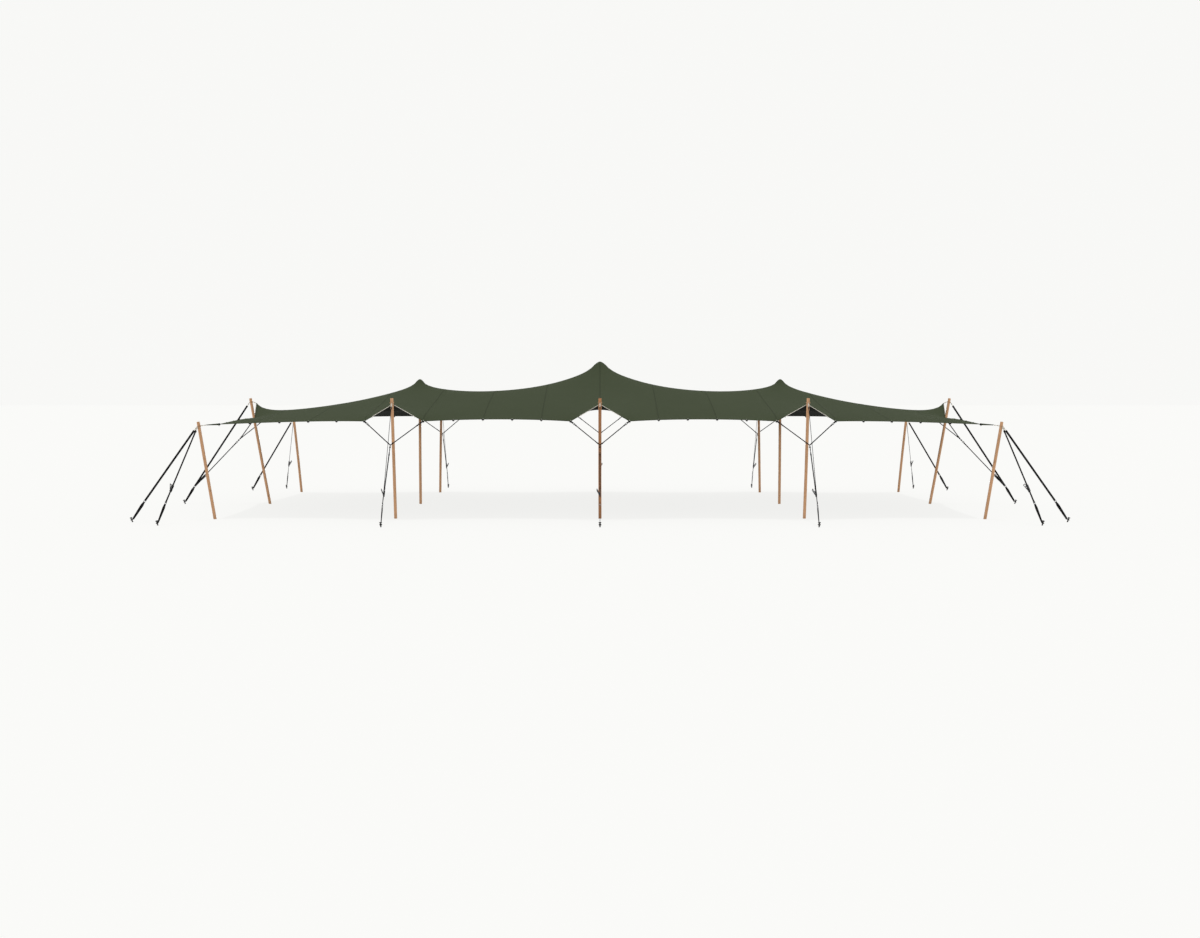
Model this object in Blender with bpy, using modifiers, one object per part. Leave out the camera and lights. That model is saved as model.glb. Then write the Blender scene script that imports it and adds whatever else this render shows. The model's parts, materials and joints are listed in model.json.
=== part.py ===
"""Stretch tent: one sheet on three inner poles, twelve perimeter poles, guys and stakes.

Metres, +Z up, ground at z = 0. X runs along the long side, -Y is the front.
"""
import math

import bmesh
import bpy
import numpy as np
from mathutils import Matrix, Vector

# Sheet: cut in panels 1.5 m wide, with a hem fitting every 0.75 m
fitting_pitch = 0.75
half_fittings_long = 13
half_fittings_short = 7
sheet_thickness = 0.004
pole_fitting = 7                      # fittings from the middle to the next pole on a long side

# Where the twelve perimeter poles pull the hem, and the fittings on either side of each pole
middle_pole_x = 5.12
tie_y = 5.36
tie_x = 9.77
tie_z = 2.865
bridle_out = 0.73                     # along the hem, from the pole's own line
bridle_y = 5.24
bridle_x = 9.66
bridle_z = 2.44
corner_x = 9.50
corner_y = 5.06
corner_z = 2.352
long_scallop = 0.245                  # how far the hem draws in between two held fittings
short_scallop = 0.06
corner_scallop = 0.28                # on a long side, beyond the last pole

# Peaks: height, slope of the flank, rounding of the tip, and how far out the cap holds the sheet
centre_peak = (4.053, 0.952, 0.083, 0.21)
inner_peak = (3.555, 1.497, 0.132, 0.155)
peak_lines = (0.1, 0.2, 0.42)         # extra grid lines beside a peak

# Pull in the hem against the pull in a metre of sheet, and the extra pull in the patch over each peak
hem_pull = 8.0
patch_pull = 0.88
patch_radius = 0.82
sheet_lift = 0.0104

# Poles
pole_radius = 0.038
pole_round = 0.008
long_pole_foot_y = 5.0
side_pole_foot_x = 9.42
pole_lean = 0.525                     # how far a perimeter pole's head stands outside its foot
pole_top_z = 3.01
corner_foot = (9.60, 5.17)
corner_lean = (0.302, 0.31)
corner_top_z = 2.43
cap_radius = 0.1
cap_edge = 0.014
cap_tip = 0.02
cap_gap = 0.003                       # under the sheet's top face, past its thickness
pole_steps = 16

# Guys
rope_radius = 0.008
bridle_radius = 0.0125
head_drop = 0.11                      # head loop, below the top of the pole
head_rope = 0.13
strap_width = 0.05
strap_thickness = 0.005
ring_z = 0.50
ring_radius = 0.025
ring_wire = 0.0065
bridle_node_out = 0.83                # from the pole's foot
bridle_node_z = 1.865
clip_size = (0.07, 0.036, 0.026)
node_clips = ((0.045, 0.038), (0.105, 0.16))   # below the bridle's node: start and length
node_clip_width = 0.034
tie_gap = 0.015
loop_ease = 0.0024                    # a loop's slack around its pole or stake

# Ratchets
ratchet_body = (0.19, 0.052, 0.042)
ratchet_handle = (0.16, 0.052, 0.014)
ratchet_rise = math.radians(22)
bridle_ratchet_z = 0.76
corner_ratchet_z = 0.85

# Stakes
long_stake_y = 7.42
side_stake_x = 11.84
corner_stakes = ((11.37, 6.04), (10.47, 6.97))
stake_radius = 0.016
stake_head_radius = 0.034
stake_head = 0.016
stake_height = 0.125
stake_lean = math.radians(24)
sling_loop_z = 0.06
sling_wire = 0.008
sling_width = 0.07
sling_thickness = 0.014
sling_taper = 0.66

for old in list(bpy.data.objects):
    bpy.data.objects.remove(old, do_unlink=True)

tent = bpy.data.collections.new("stretch_tent")
cutters = bpy.data.collections.new("cutters")
bpy.context.scene.collection.children.link(tent)
bpy.context.scene.collection.children.link(cutters)


def make_material(name, colour, roughness, metallic=0.0):
    material = bpy.data.materials.new(name)
    material.use_nodes = True
    shader = material.node_tree.nodes["Principled BSDF"]
    shader.inputs["Base Color"].default_value = (*colour, 1.0)
    shader.inputs["Roughness"].default_value = roughness
    shader.inputs["Metallic"].default_value = metallic
    material.diffuse_color = (*colour, 1.0)
    return material


sheet_material = make_material("sheet", (0.073, 0.085, 0.052), 0.85)
wood_material = make_material("wood", (0.45, 0.27, 0.15), 0.7)
webbing_material = make_material("webbing", (0.008, 0.008, 0.009), 0.8)
steel_material = make_material("steel", (0.35, 0.35, 0.36), 0.4, 1.0)


def add_object(name, mesh, material, collection=None):
    obj = bpy.data.objects.new(name, mesh)
    (collection or tent).objects.link(obj)
    mesh.materials.append(material)
    return obj


def as_cutter(obj):
    obj.hide_render = True
    obj.display_type = "WIRE"
    return obj


def smooth(obj, angle=35):
    obj.data.shade_smooth()
    obj.data.set_sharp_from_angle(angle=math.radians(angle))


def turned(name, profile, material, steps=pole_steps):
    """A profile of (radius, height) pairs, top to bottom, turned about Z."""
    mesh = bpy.data.meshes.new(name)
    points = [(radius, 0.0, height) for radius, height in profile]
    mesh.from_pydata(points, [(i, i + 1) for i in range(len(points) - 1)], [])
    obj = add_object(name, mesh, material)
    screw = obj.modifiers.new("turn", "SCREW")
    screw.axis = "Z"
    screw.angle = math.tau
    screw.steps = steps
    screw.render_steps = steps
    screw.use_merge_vertices = True
    screw.merge_threshold = 0.0001
    screw.use_smooth_shade = True
    return obj


def lean_to(obj, foot, head):
    """Stand an object on foot with its own Z towards head."""
    direction = Vector(head) - Vector(foot)
    obj.location = foot
    obj.rotation_euler = direction.to_track_quat("Z", "Y").to_euler()


def boolean(obj, other, operation):
    modifier = obj.modifiers.new(operation.lower(), "BOOLEAN")
    modifier.operation = operation
    modifier.solver = "EXACT"
    modifier.object = other


def ground_cutter():
    bpy.ops.mesh.primitive_cube_add(size=1.0, location=(0, 0, -0.25))
    cutter = bpy.context.object
    cutter.name = "ground_cut"
    cutter.scale = (26, 17, 0.5)
    bpy.ops.object.transform_apply(location=False, rotation=False, scale=True)
    for collection in list(cutter.users_collection):
        collection.objects.unlink(cutter)
    cutters.objects.link(cutter)
    return as_cutter(cutter)


below_ground = ground_cutter()


# The sheet

def grid_lines(half_count, peaks):
    lines = {round(k * fitting_pitch, 4) for k in range(-half_count, half_count + 1)}
    for peak in peaks:
        for step in peak_lines:
            lines.update((round(peak - step, 4), round(peak + step, 4)))
    return np.array(sorted(lines))


def hem_reach(along, posts, end, tie, bridle, corner, scallops):
    """How far out the hem stands at a place along it: straight by the poles, drawn in between."""
    along = abs(along)
    knots = []
    for post in posts:
        if post > 0:
            knots.append((post - fitting_pitch, bridle))
        knots += [(post, tie), (post + fitting_pitch, bridle)]
    knots.append((end, corner))
    for (start, out_a), (stop, out_b) in zip(knots, knots[1:]):
        if along <= stop + 1e-6:
            t = (along - start) / (stop - start)
            straight = out_a + (out_b - out_a) * t
            held = stop - start < fitting_pitch * 1.01
            scallop = scallops[1] if stop == end else scallops[0]
            return straight if held else straight - scallop * 4 * t * (1 - t)
    return corner


end_u = half_fittings_long * fitting_pitch
end_v = half_fittings_short * fitting_pitch
post_u = pole_fitting * fitting_pitch


def plan_x(u, v):
    reach = hem_reach(v, (0.0,), end_v, tie_x, bridle_x, corner_x, (0.0, short_scallop))
    inner = min(abs(u), post_u) / post_u * middle_pole_x
    outer = max(abs(u) - post_u, 0.0) / (end_u - post_u) * (reach - middle_pole_x)
    return math.copysign(inner + outer, u)


def plan_y(u, v):
    scallops = (long_scallop, corner_scallop)
    reach = hem_reach(u, (0.0, post_u), end_u, tie_y, bridle_y, corner_y, scallops)
    return v / end_v * reach


def peak_drop(radius, slope, tip_round):
    return math.hypot(slope * radius, tip_round) - tip_round


def held_height(u, v, x, y):
    """Height of the sheet where something holds it, or None where it hangs free."""
    for peak_x, (top, slope, tip_round, hold) in ((0.0, centre_peak), (middle_pole_x, inner_peak)):
        radius = math.hypot(abs(x) - peak_x, y)
        if radius < hold:
            return top - peak_drop(radius, slope, tip_round)
    on_long = abs(abs(v) - end_v) < 1e-6
    on_short = abs(abs(u) - end_u) < 1e-6
    if on_long and on_short:
        return corner_z
    if on_long:
        offset = min(abs(abs(u) - post) for post in (0.0, post_u))
    elif on_short:
        offset = abs(v)
    else:
        return None
    if offset < 1e-6:
        return tie_z
    if abs(offset - fitting_pitch) < 1e-6:
        return bridle_z
    return None


def sheet_heights(lines_u, lines_v, xs, ys):
    """Heights at which the pull in the sheet and its hem balances at every free grid point."""
    count_u, count_v = xs.shape
    gap_u = np.diff(lines_u)
    gap_v = np.diff(lines_v)
    share_u = np.zeros(count_u)
    share_u[:-1] += gap_u / 2
    share_u[1:] += gap_u / 2
    share_v = np.zeros(count_v)
    share_v[:-1] += gap_v / 2
    share_v[1:] += gap_v / 2
    index = np.arange(count_u * count_v).reshape(count_u, count_v)
    matrix = np.zeros((index.size, index.size))

    def join(first, second, pull, hem, gap):
        """A thread of sheet between two grid points, with the hem beside it and any patch over it."""
        x = (xs[first] + xs[second]) / 2
        y = (ys[first] + ys[second]) / 2
        patches = sum(
            math.exp(-((x - peak_x) ** 2 + y ** 2) / patch_radius ** 2)
            for peak_x in (-middle_pole_x, 0.0, middle_pole_x))
        stiffness = (pull * (1 + patch_pull * patches) + hem) / gap
        a, b = index[first], index[second]
        matrix[a, a] += stiffness
        matrix[b, b] += stiffness
        matrix[a, b] -= stiffness
        matrix[b, a] -= stiffness

    for i in range(count_u - 1):
        for j in range(count_v):
            hem = hem_pull if j in (0, count_v - 1) else 0.0
            join((i, j), (i + 1, j), share_v[j], hem, gap_u[i])
    for i in range(count_u):
        for j in range(count_v - 1):
            hem = hem_pull if i in (0, count_u - 1) else 0.0
            join((i, j), (i, j + 1), share_u[i], hem, gap_v[j])
    held = {}
    for i in range(count_u):
        for j in range(count_v):
            height = held_height(lines_u[i], lines_v[j], xs[i, j], ys[i, j])
            if height is not None:
                held[index[i, j]] = height
    fixed = np.array(sorted(held))
    free = np.setdiff1d(index.ravel(), fixed)
    heights = np.zeros(index.size)
    heights[fixed] = [held[k] for k in fixed]
    lift = sheet_lift * np.outer(share_u, share_v).ravel()
    load = lift[free] - matrix[np.ix_(free, fixed)] @ heights[fixed]
    heights[free] = np.linalg.solve(matrix[np.ix_(free, free)], load)
    return heights.reshape(count_u, count_v)


def make_canopy():
    """A plane grid of the sheet's own lines, lifted to its stretched shape."""
    lines_u = grid_lines(half_fittings_long, (-post_u, 0.0, post_u))
    lines_v = grid_lines(half_fittings_short, (0.0,))
    xs = np.array([[plan_x(u, v) for v in lines_v] for u in lines_u])
    ys = np.array([[plan_y(u, v) for v in lines_v] for u in lines_u])
    zs = sheet_heights(lines_u, lines_v, xs, ys)
    count_u, count_v = xs.shape
    bm = bmesh.new()
    bmesh.ops.create_grid(bm, x_segments=count_u - 1, y_segments=count_v - 1, size=1.0)
    for vert in bm.verts:
        i = round((vert.co.x + 1) / 2 * (count_u - 1))
        j = round((vert.co.y + 1) / 2 * (count_v - 1))
        vert.co = (xs[i, j], ys[i, j], zs[i, j])
    mesh = bpy.data.meshes.new("canopy")
    bm.to_mesh(mesh)
    bm.free()
    obj = add_object("canopy", mesh, sheet_material)
    solidify = obj.modifiers.new("thickness", "SOLIDIFY")
    solidify.thickness = sheet_thickness
    solidify.offset = -1.0
    obj.data.shade_smooth()


# Poles

def inner_pole(name, x, peak):
    """An upright pole with a blunt cap that the sheet lies on, just steeper than the sheet's facets."""
    height, slope, tip_round, _ = peak
    top = height - sheet_thickness - cap_gap
    facet_drop = peak_drop(peak_lines[0], slope, tip_round)
    cap_slope = 1.03 * facet_drop / (peak_lines[0] * math.cos(math.pi / 4))
    rim = top - cap_slope * cap_radius
    profile = [
        (0.0, top - 0.6 * cap_slope * cap_tip), (cap_tip, top - cap_slope * cap_tip), (cap_radius, rim),
        (cap_radius, rim - cap_edge), (pole_radius, rim - 2.5 * cap_edge), (pole_radius, 0.0), (0.0, 0.0)]
    obj = turned(name, profile, wood_material)
    obj.location.x = x


def perimeter_pole(name, foot, head):
    """A leaning pole, cut level at the ground."""
    length = (Vector(head) - Vector(foot)).length
    profile = [
        (0.0, length), (pole_radius - pole_round, length), (pole_radius, length - pole_round),
        (pole_radius, -0.1), (0.0, -0.1)]
    obj = turned(name, profile, wood_material)
    lean_to(obj, foot, head)
    boolean(obj, below_ground, "DIFFERENCE")


# Guys

def piece_mesh(bm, name, material):
    mesh = bpy.data.meshes.new(name)
    bm.to_mesh(mesh)
    bm.free()
    return as_cutter(add_object(name, mesh, material, cutters))


def frame_along(start, end, flat):
    """A frame at the middle of a run: X along it, Z as near as can be to flat."""
    along = (end - start).normalized()
    across = Vector(flat).cross(along).normalized()
    normal = along.cross(across)
    rotation = Matrix((along, across, normal)).transposed().to_4x4()
    return Matrix.Translation((start + end) / 2) @ rotation


def bar(name, start, end, size, flat, taper=1.0):
    """A box of a strap, clip or lever between two points. Its width lies square to flat."""
    bm = bmesh.new()
    length = (end - start).length
    bmesh.ops.create_cube(bm, size=1.0)
    far_end = [vert for vert in bm.verts if vert.co.x > 0]
    bmesh.ops.scale(bm, vec=(1.0, taper, 1.0), verts=far_end)
    bmesh.ops.scale(bm, vec=(length, size[0], size[1]), verts=bm.verts)
    bmesh.ops.transform(bm, matrix=frame_along(start, end, flat), verts=bm.verts)
    return piece_mesh(bm, name, webbing_material)


def rod(name, start, end, radius, sides=6):
    """A taut rope between two points."""
    bm = bmesh.new()
    matrix = frame_along(start, end, (0.3, 0.2, 1)) @ Matrix.Rotation(math.pi / 2, 4, "Y")
    bmesh.ops.create_cone(
        bm, cap_ends=True, segments=sides, radius1=radius, radius2=radius,
        depth=(end - start).length, matrix=matrix)
    return piece_mesh(bm, name, webbing_material)


def ring(name, centre, axis, radius, wire, sides=10, wire_sides=5):
    bpy.ops.mesh.primitive_torus_add(
        major_radius=radius, minor_radius=wire, major_segments=sides, minor_segments=wire_sides)
    obj = bpy.context.object
    obj.name = name
    obj.location = centre
    obj.rotation_euler = Vector(axis).to_track_quat("Z", "Y").to_euler()
    for collection in list(obj.users_collection):
        collection.objects.unlink(obj)
    cutters.objects.link(obj)
    return as_cutter(obj)


def joined(name, pieces, material):
    """One solid node: a copy of the first piece, with the others joined to it."""
    first = pieces[0]
    obj = bpy.data.objects.new(name, first.data.copy())
    obj.matrix_world = first.matrix_world.copy()
    obj.location = first.location
    obj.rotation_euler = first.rotation_euler
    tent.objects.link(obj)
    obj.data.materials.clear()
    obj.data.materials.append(material)
    for other in pieces[1:]:
        boolean(obj, other, "UNION")
    return obj


def at_height(start, end, z):
    """The point of a straight run at a height."""
    return start + (end - start) * ((z - start.z) / (end.z - start.z))


def ratchet(name, start, end, centre_z):
    """A closed ratchet on a strap: its body over the strap, its lever along it."""
    along = (end - start).normalized()
    side = along.cross(Vector((0, 0, 1))).normalized()
    centre = at_height(start, end, centre_z)
    body = bar(
        name + "_body", centre - along * ratchet_body[0] / 2, centre + along * ratchet_body[0] / 2,
        ratchet_body[1:], side)
    swing = (along * -math.cos(ratchet_rise) + side * math.sin(ratchet_rise)).normalized()
    pivot = centre + side * (ratchet_body[2] / 2 - ratchet_handle[2]) + along * ratchet_body[0] * 0.25
    lever = bar(name + "_lever", pivot, pivot + swing * ratchet_handle[0], ratchet_handle[1:], side)
    return [body, lever]


def upright_side(start, end):
    """Level direction square to a run, which a strap's flat face looks along."""
    return (end - start).cross(Vector((0, 0, 1))).normalized()


def strap_run(name, top, stake, with_ratchet_z=None):
    """A webbing strap from top to the ring above a stake."""
    ring_centre = at_height(top, stake, ring_z)
    side = upright_side(top, stake)
    pieces = [bar(name + "_strap", top, ring_centre, (strap_width, strap_thickness), side)]
    if with_ratchet_z is not None:
        pieces += ratchet(name, top, ring_centre, with_ratchet_z)
    return pieces, ring_centre


def stake_loop_centre(stake, axis):
    return stake + axis * (sling_loop_z / axis.z)


def sling(name, ring_centre, stake, axis):
    """A webbing sling from the ring down to its loop around the stake."""
    loop_radius = stake_radius + sling_wire + loop_ease
    loop_centre = stake_loop_centre(stake, axis)
    towards = ring_centre - loop_centre
    level = (towards - axis * towards.dot(axis)).normalized()
    end = loop_centre + level * (loop_radius + sling_wire / 2)
    size = (sling_width, sling_thickness)
    return [
        ring(name + "_loop", loop_centre, axis, loop_radius, sling_wire),
        bar(name + "_sling", ring_centre, end, size, upright_side(ring_centre, end), sling_taper)]


def stake_axis(stake, from_point):
    """Direction of a stake, leaning away from the tent."""
    out = Vector((stake.x - from_point.x, stake.y - from_point.y, 0)).normalized()
    return out * math.sin(stake_lean) + Vector((0, 0, math.cos(stake_lean)))


def make_stake(name, foot, axis):
    profile = [
        (0.0, stake_height), (stake_head_radius * 0.7, stake_height),
        (stake_head_radius, stake_height - 0.005), (stake_head_radius, stake_height - stake_head),
        (stake_radius, stake_height - stake_head), (stake_radius, -0.05), (0.0, -0.05)]
    obj = turned(name, profile, steel_material, 10)
    lean_to(obj, foot, foot + axis)
    boolean(obj, below_ground, "DIFFERENCE")


def pole_head(name, foot, head, tie):
    """The head loop around a pole, and the rope from it to the hem."""
    axis = (head - foot).normalized()
    loop_centre = head - axis * head_drop
    loop = ring(name + "_loop", loop_centre, axis, pole_radius + rope_radius + loop_ease, rope_radius, 12)
    reach = pole_radius + rope_radius + loop_ease
    inward = (tie - loop_centre)
    inward_level = (inward - axis * inward.dot(axis)).normalized()
    rope_start = loop_centre + inward_level * reach
    rope_end = tie - (tie - rope_start).normalized() * tie_gap
    return [loop, rod(name + "_tie", rope_start, rope_end, rope_radius)], loop_centre, axis, reach


def head_to_strap(name, loop_centre, axis, reach, stake_point):
    """Rope from the head loop to the strap's upper end, and that end."""
    outward = stake_point - loop_centre
    level = (outward - axis * outward.dot(axis)).normalized()
    start = loop_centre + level * reach
    strap_top = start + (stake_point - start).normalized() * head_rope
    overlap = strap_top + (stake_point - start).normalized() * 0.03
    return rod(name + "_head", start, overlap, rope_radius), strap_top


def middle_guy(name, foot, head, tie, hem_points, stake):
    """Guy of a middle pole: a strap from its head, and a bridle from the hem to the same ring."""
    axis = stake_axis(stake, foot)
    anchor = stake_loop_centre(stake, axis)
    pieces, loop_centre, pole_axis, reach = pole_head(name, foot, head, tie)
    rope, strap_top = head_to_strap(name, loop_centre, pole_axis, reach, anchor)
    pieces.append(rope)
    straps, ring_centre = strap_run(name, strap_top, anchor)
    pieces += straps
    out = Vector((stake.x - foot.x, stake.y - foot.y, 0)).normalized()
    node = foot + out * bridle_node_out + Vector((0, 0, bridle_node_z))
    side = upright_side(node, ring_centre)
    down = (ring_centre - node).normalized()
    tail = at_height(node, ring_centre, bridle_ratchet_z)
    pieces.append(rod(name + "_bridle_line", node, tail, bridle_radius))
    pieces.append(bar(name + "_bridle_tail", tail, ring_centre, (strap_width, strap_thickness), side))
    for number, (start, length) in enumerate(node_clips):
        clip = (node + down * start, node + down * (start + length))
        pieces.append(bar(f"{name}_node_clip_{number}", *clip, (node_clip_width, node_clip_width), side))
    pieces += ratchet(name + "_bridle", node, ring_centre, bridle_ratchet_z)
    for number, hem_point in enumerate(hem_points):
        towards = (node - hem_point).normalized()
        start = hem_point + towards * tie_gap
        past_node = node + towards * 0.01
        pieces.append(rod(f"{name}_arm_{number}", start, past_node, bridle_radius))
        pieces.append(bar(
            f"{name}_clip_{number}", start + towards * 0.03, start + towards * (0.03 + clip_size[0]),
            clip_size[1:], towards.cross(out)))
    pieces.append(ring(name + "_ring", ring_centre, side, ring_radius, ring_wire))
    pieces += sling(name, ring_centre, stake, axis)
    smooth(joined(name, pieces, webbing_material))
    return axis


def corner_guy(name, foot, head, tie, stakes):
    """Guys of a corner pole: two straps from its head to two stakes."""
    pieces, loop_centre, pole_axis, reach = pole_head(name, foot, head, tie)
    axes = []
    for number, stake in enumerate(stakes):
        label = f"{name}_{number}"
        axis = stake_axis(stake, foot)
        axes.append(axis)
        anchor = stake_loop_centre(stake, axis)
        rope, strap_top = head_to_strap(label, loop_centre, pole_axis, reach, anchor)
        pieces.append(rope)
        ratchet_z = corner_ratchet_z if number == 1 else None
        straps, ring_centre = strap_run(label, strap_top, anchor, ratchet_z)
        pieces += straps
        side = upright_side(strap_top, anchor)
        pieces.append(ring(label + "_ring", ring_centre, side, ring_radius, ring_wire))
        pieces += sling(label, ring_centre, stake, axis)
    smooth(joined(name, pieces, webbing_material))
    return axes


def middle_bay(name, foot, outward, stake_out, tie, hem_points):
    """Pole, guy and stake at the middle of a hem, which the outward direction leaves."""
    head = foot + outward * pole_lean + Vector((0, 0, pole_top_z))
    stake = outward * stake_out + Vector((foot.x * abs(outward.y), foot.y * abs(outward.x), 0))
    perimeter_pole(name + "_pole", foot, head)
    axis = middle_guy(name + "_guy", foot, head, tie, hem_points, stake)
    make_stake(name + "_stake", stake, axis)


make_canopy()
inner_pole("centre_pole", 0.0, centre_peak)
inner_pole("left_inner_pole", -middle_pole_x, inner_peak)
inner_pole("right_inner_pole", middle_pole_x, inner_peak)

for side_name, side in (("front", -1), ("back", 1)):
    for place, x in (("left", -middle_pole_x), ("middle", 0.0), ("right", middle_pole_x)):
        hem = [Vector((x + along * bridle_out, side * bridle_y, bridle_z)) for along in (-1, 1)]
        middle_bay(
            f"{side_name}_{place}", Vector((x, side * long_pole_foot_y, 0)), Vector((0, side, 0)),
            long_stake_y, Vector((x, side * tie_y, tie_z)), hem)

for side_name, side in (("left_side", -1), ("right_side", 1)):
    hem = [Vector((side * bridle_x, along * bridle_out, bridle_z)) for along in (-1, 1)]
    middle_bay(
        side_name, Vector((side * side_pole_foot_x, 0, 0)), Vector((side, 0, 0)),
        side_stake_x, Vector((side * tie_x, 0, tie_z)), hem)

for y_name, y_side in (("front", -1), ("back", 1)):
    for x_name, x_side in (("left", -1), ("right", 1)):
        name = f"{y_name}_{x_name}_corner"
        foot = Vector((x_side * corner_foot[0], y_side * corner_foot[1], 0))
        lean = Vector((x_side * corner_lean[0], y_side * corner_lean[1], corner_top_z))
        tie = Vector((x_side * corner_x, y_side * corner_y, corner_z))
        stakes = [Vector((x_side * x, y_side * y, 0)) for x, y in corner_stakes]
        perimeter_pole(name + "_pole", foot, foot + lean)
        axes = corner_guy(name + "_guys", foot, foot + lean, tie, stakes)
        for number, stake in enumerate(stakes):
            make_stake(f"{name}_stake_{number + 1}", stake, axes[number])
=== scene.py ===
import json
import math

import bmesh
import bpy
import numpy as np
from mathutils import Matrix, Vector, noise

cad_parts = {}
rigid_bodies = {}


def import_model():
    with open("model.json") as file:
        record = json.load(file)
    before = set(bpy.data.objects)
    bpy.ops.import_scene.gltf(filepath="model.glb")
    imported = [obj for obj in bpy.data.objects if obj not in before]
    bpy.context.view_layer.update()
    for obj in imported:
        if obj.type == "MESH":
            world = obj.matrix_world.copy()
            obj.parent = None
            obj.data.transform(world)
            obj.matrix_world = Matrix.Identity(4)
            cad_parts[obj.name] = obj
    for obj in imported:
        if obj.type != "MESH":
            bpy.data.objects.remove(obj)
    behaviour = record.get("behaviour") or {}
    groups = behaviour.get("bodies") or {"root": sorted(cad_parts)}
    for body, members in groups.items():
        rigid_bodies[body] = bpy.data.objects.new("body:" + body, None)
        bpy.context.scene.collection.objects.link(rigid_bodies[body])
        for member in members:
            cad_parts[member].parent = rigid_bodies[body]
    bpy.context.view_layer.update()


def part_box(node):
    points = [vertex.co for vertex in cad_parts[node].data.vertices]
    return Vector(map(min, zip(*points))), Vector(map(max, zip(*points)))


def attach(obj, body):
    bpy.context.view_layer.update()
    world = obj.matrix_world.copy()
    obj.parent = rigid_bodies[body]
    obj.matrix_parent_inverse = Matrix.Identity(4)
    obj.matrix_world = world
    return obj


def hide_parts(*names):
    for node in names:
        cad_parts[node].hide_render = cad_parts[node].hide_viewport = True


# Looks of the stretch tent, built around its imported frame. Metres, Z up, the front along -Y.
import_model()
up = Vector((0, 0, 1))


class Signal:
    # one output of a material's nodes, usable in ordinary sums
    def __init__(self, finish, socket):
        self.finish = finish
        self.socket = socket

    def maths(self, operation, other=0.0, turned=False):
        first, second = (other, self) if turned else (self, other)
        return self.finish.node("ShaderNodeMath", {"operation": operation}, {0: first, 1: second})

    def __add__(self, other):
        return self.maths("ADD", other)

    def __sub__(self, other):
        return self.maths("SUBTRACT", other)

    def __rsub__(self, other):
        return self.maths("SUBTRACT", other, True)

    def __mul__(self, other):
        return self.maths("MULTIPLY", other)

    def __lt__(self, other):
        return self.maths("LESS_THAN", other)

    def __gt__(self, other):
        return self.maths("GREATER_THAN", other)

    def __abs__(self):
        return self.maths("ABSOLUTE")

    __radd__ = __add__
    __rmul__ = __mul__


class Finish:
    # a material, its Principled shader and the nodes that vary it
    def __init__(self, name, colour, roughness, metallic=0.0, specular=0.5):
        self.material = bpy.data.materials.new(name)
        self.material.use_nodes = True
        self.material.diffuse_color = (*colour, 1.0)
        self.tree = self.material.node_tree
        self.shader = self.tree.nodes["Principled BSDF"]
        self.shader.inputs["Base Color"].default_value = (*colour, 1.0)
        self.shader.inputs["Roughness"].default_value = roughness
        self.shader.inputs["Metallic"].default_value = metallic
        self.shader.inputs["Specular IOR Level"].default_value = specular

    def node(self, kind, settings=None, values=None, output=0):
        made = self.tree.nodes.new(kind)
        for key, value in (settings or {}).items():
            if key == "stops":
                ramp = made.color_ramp
                while len(ramp.elements) < len(value):
                    ramp.elements.new(1.0)
                for element, (position, colour) in zip(ramp.elements, value):
                    element.position = position
                    element.color = (*colour, 1.0)
            else:
                setattr(made, key, value)
        for key, value in (values or {}).items():
            if isinstance(value, Signal):
                self.tree.links.new(value.socket, made.inputs[key])
            else:
                made.inputs[key].default_value = value
        return Signal(self, made.outputs[output])

    def feed(self, name, signal):
        self.tree.links.new(signal.socket, self.shader.inputs[name])

    def place(self):
        return self.node("ShaderNodeTexCoord", output="Object")

    def lay(self):
        # the piece's own coordinates: across, across, along
        return self.node("ShaderNodeAttribute", {"attribute_name": "lay"}, output="Vector")

    def parts(self, vector):
        apart = self.node("ShaderNodeSeparateXYZ", None, {0: vector})
        return [Signal(self, apart.socket.node.outputs[i]) for i in range(3)]

    def scaled(self, vector, factors):
        return self.node("ShaderNodeVectorMath", {"operation": "MULTIPLY"}, {0: vector, 1: factors})

    def noise(self, vector, scale, detail=3.0, rough=0.5):
        return self.node("ShaderNodeTexNoise", None, {
            "Vector": vector, "Scale": scale, "Detail": detail, "Roughness": rough})

    def ramp(self, factor, *stops):
        return self.node("ShaderNodeValToRGB", {"stops": stops}, {0: factor})

    def blend(self, factor, first, second, mode="MIX"):
        return self.node("ShaderNodeMix", {"data_type": "RGBA", "blend_type": mode}, {
            0: factor, 6: first, 7: second}, 2)

    def fade(self, value, start, end):
        return self.node("ShaderNodeMapRange", {"interpolation_type": "SMOOTHSTEP"}, {
            0: value, 1: start, 2: end})

    def wave(self, value, period):
        # 0 at every whole period, rising to half a period between
        return self.node("ShaderNodeMath", {"operation": "PINGPONG"}, {0: value, 1: period / 2})

    def bump(self, height, strength, distance):
        self.feed("Normal", self.node("ShaderNodeBump", None, {
            "Height": height, "Strength": strength, "Distance": distance}))


def shade(colour, factor):
    return (colour[0] * factor, colour[1] * factor, colour[2] * factor, 1.0)


canopy = dict(
    endU=9.75, endV=5.25, postU=5.25, postX=5.12, fitting=0.75, panel=1.5,
    tieX=9.77, tieY=5.36, tieZ=2.865, bridleX=9.66, bridleY=5.2156, bridleZ=2.44,
    cornerX=9.50, cornerY=5.06, cornerZ=2.362, scallopLong=0.2308, scallopCorner=0.278, scallopShort=0.06,
    peaks=((0.0, 4.053, 0.952, 0.083, 0.19), (5.12, 3.555, 1.497, 0.132, 0.155)),
    hemLong=8.09, hemShort=5.61, patch=0.876, patchRadius=0.825, lift=0.0104,
    mesh=0.125, thickness=0.0024, seamWidth=0.034, seamRise=0.0015, hemBand=0.05, beadRadius=0.005,
    # under is the underside's colour: the top's cloth darkened to near black, as painted shade under the canopy
    colour=(0.0595, 0.0728, 0.0430), under=(0.0100, 0.0110, 0.0085), roughness=0.88,
    cloth=(10.5, 19.5))


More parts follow.
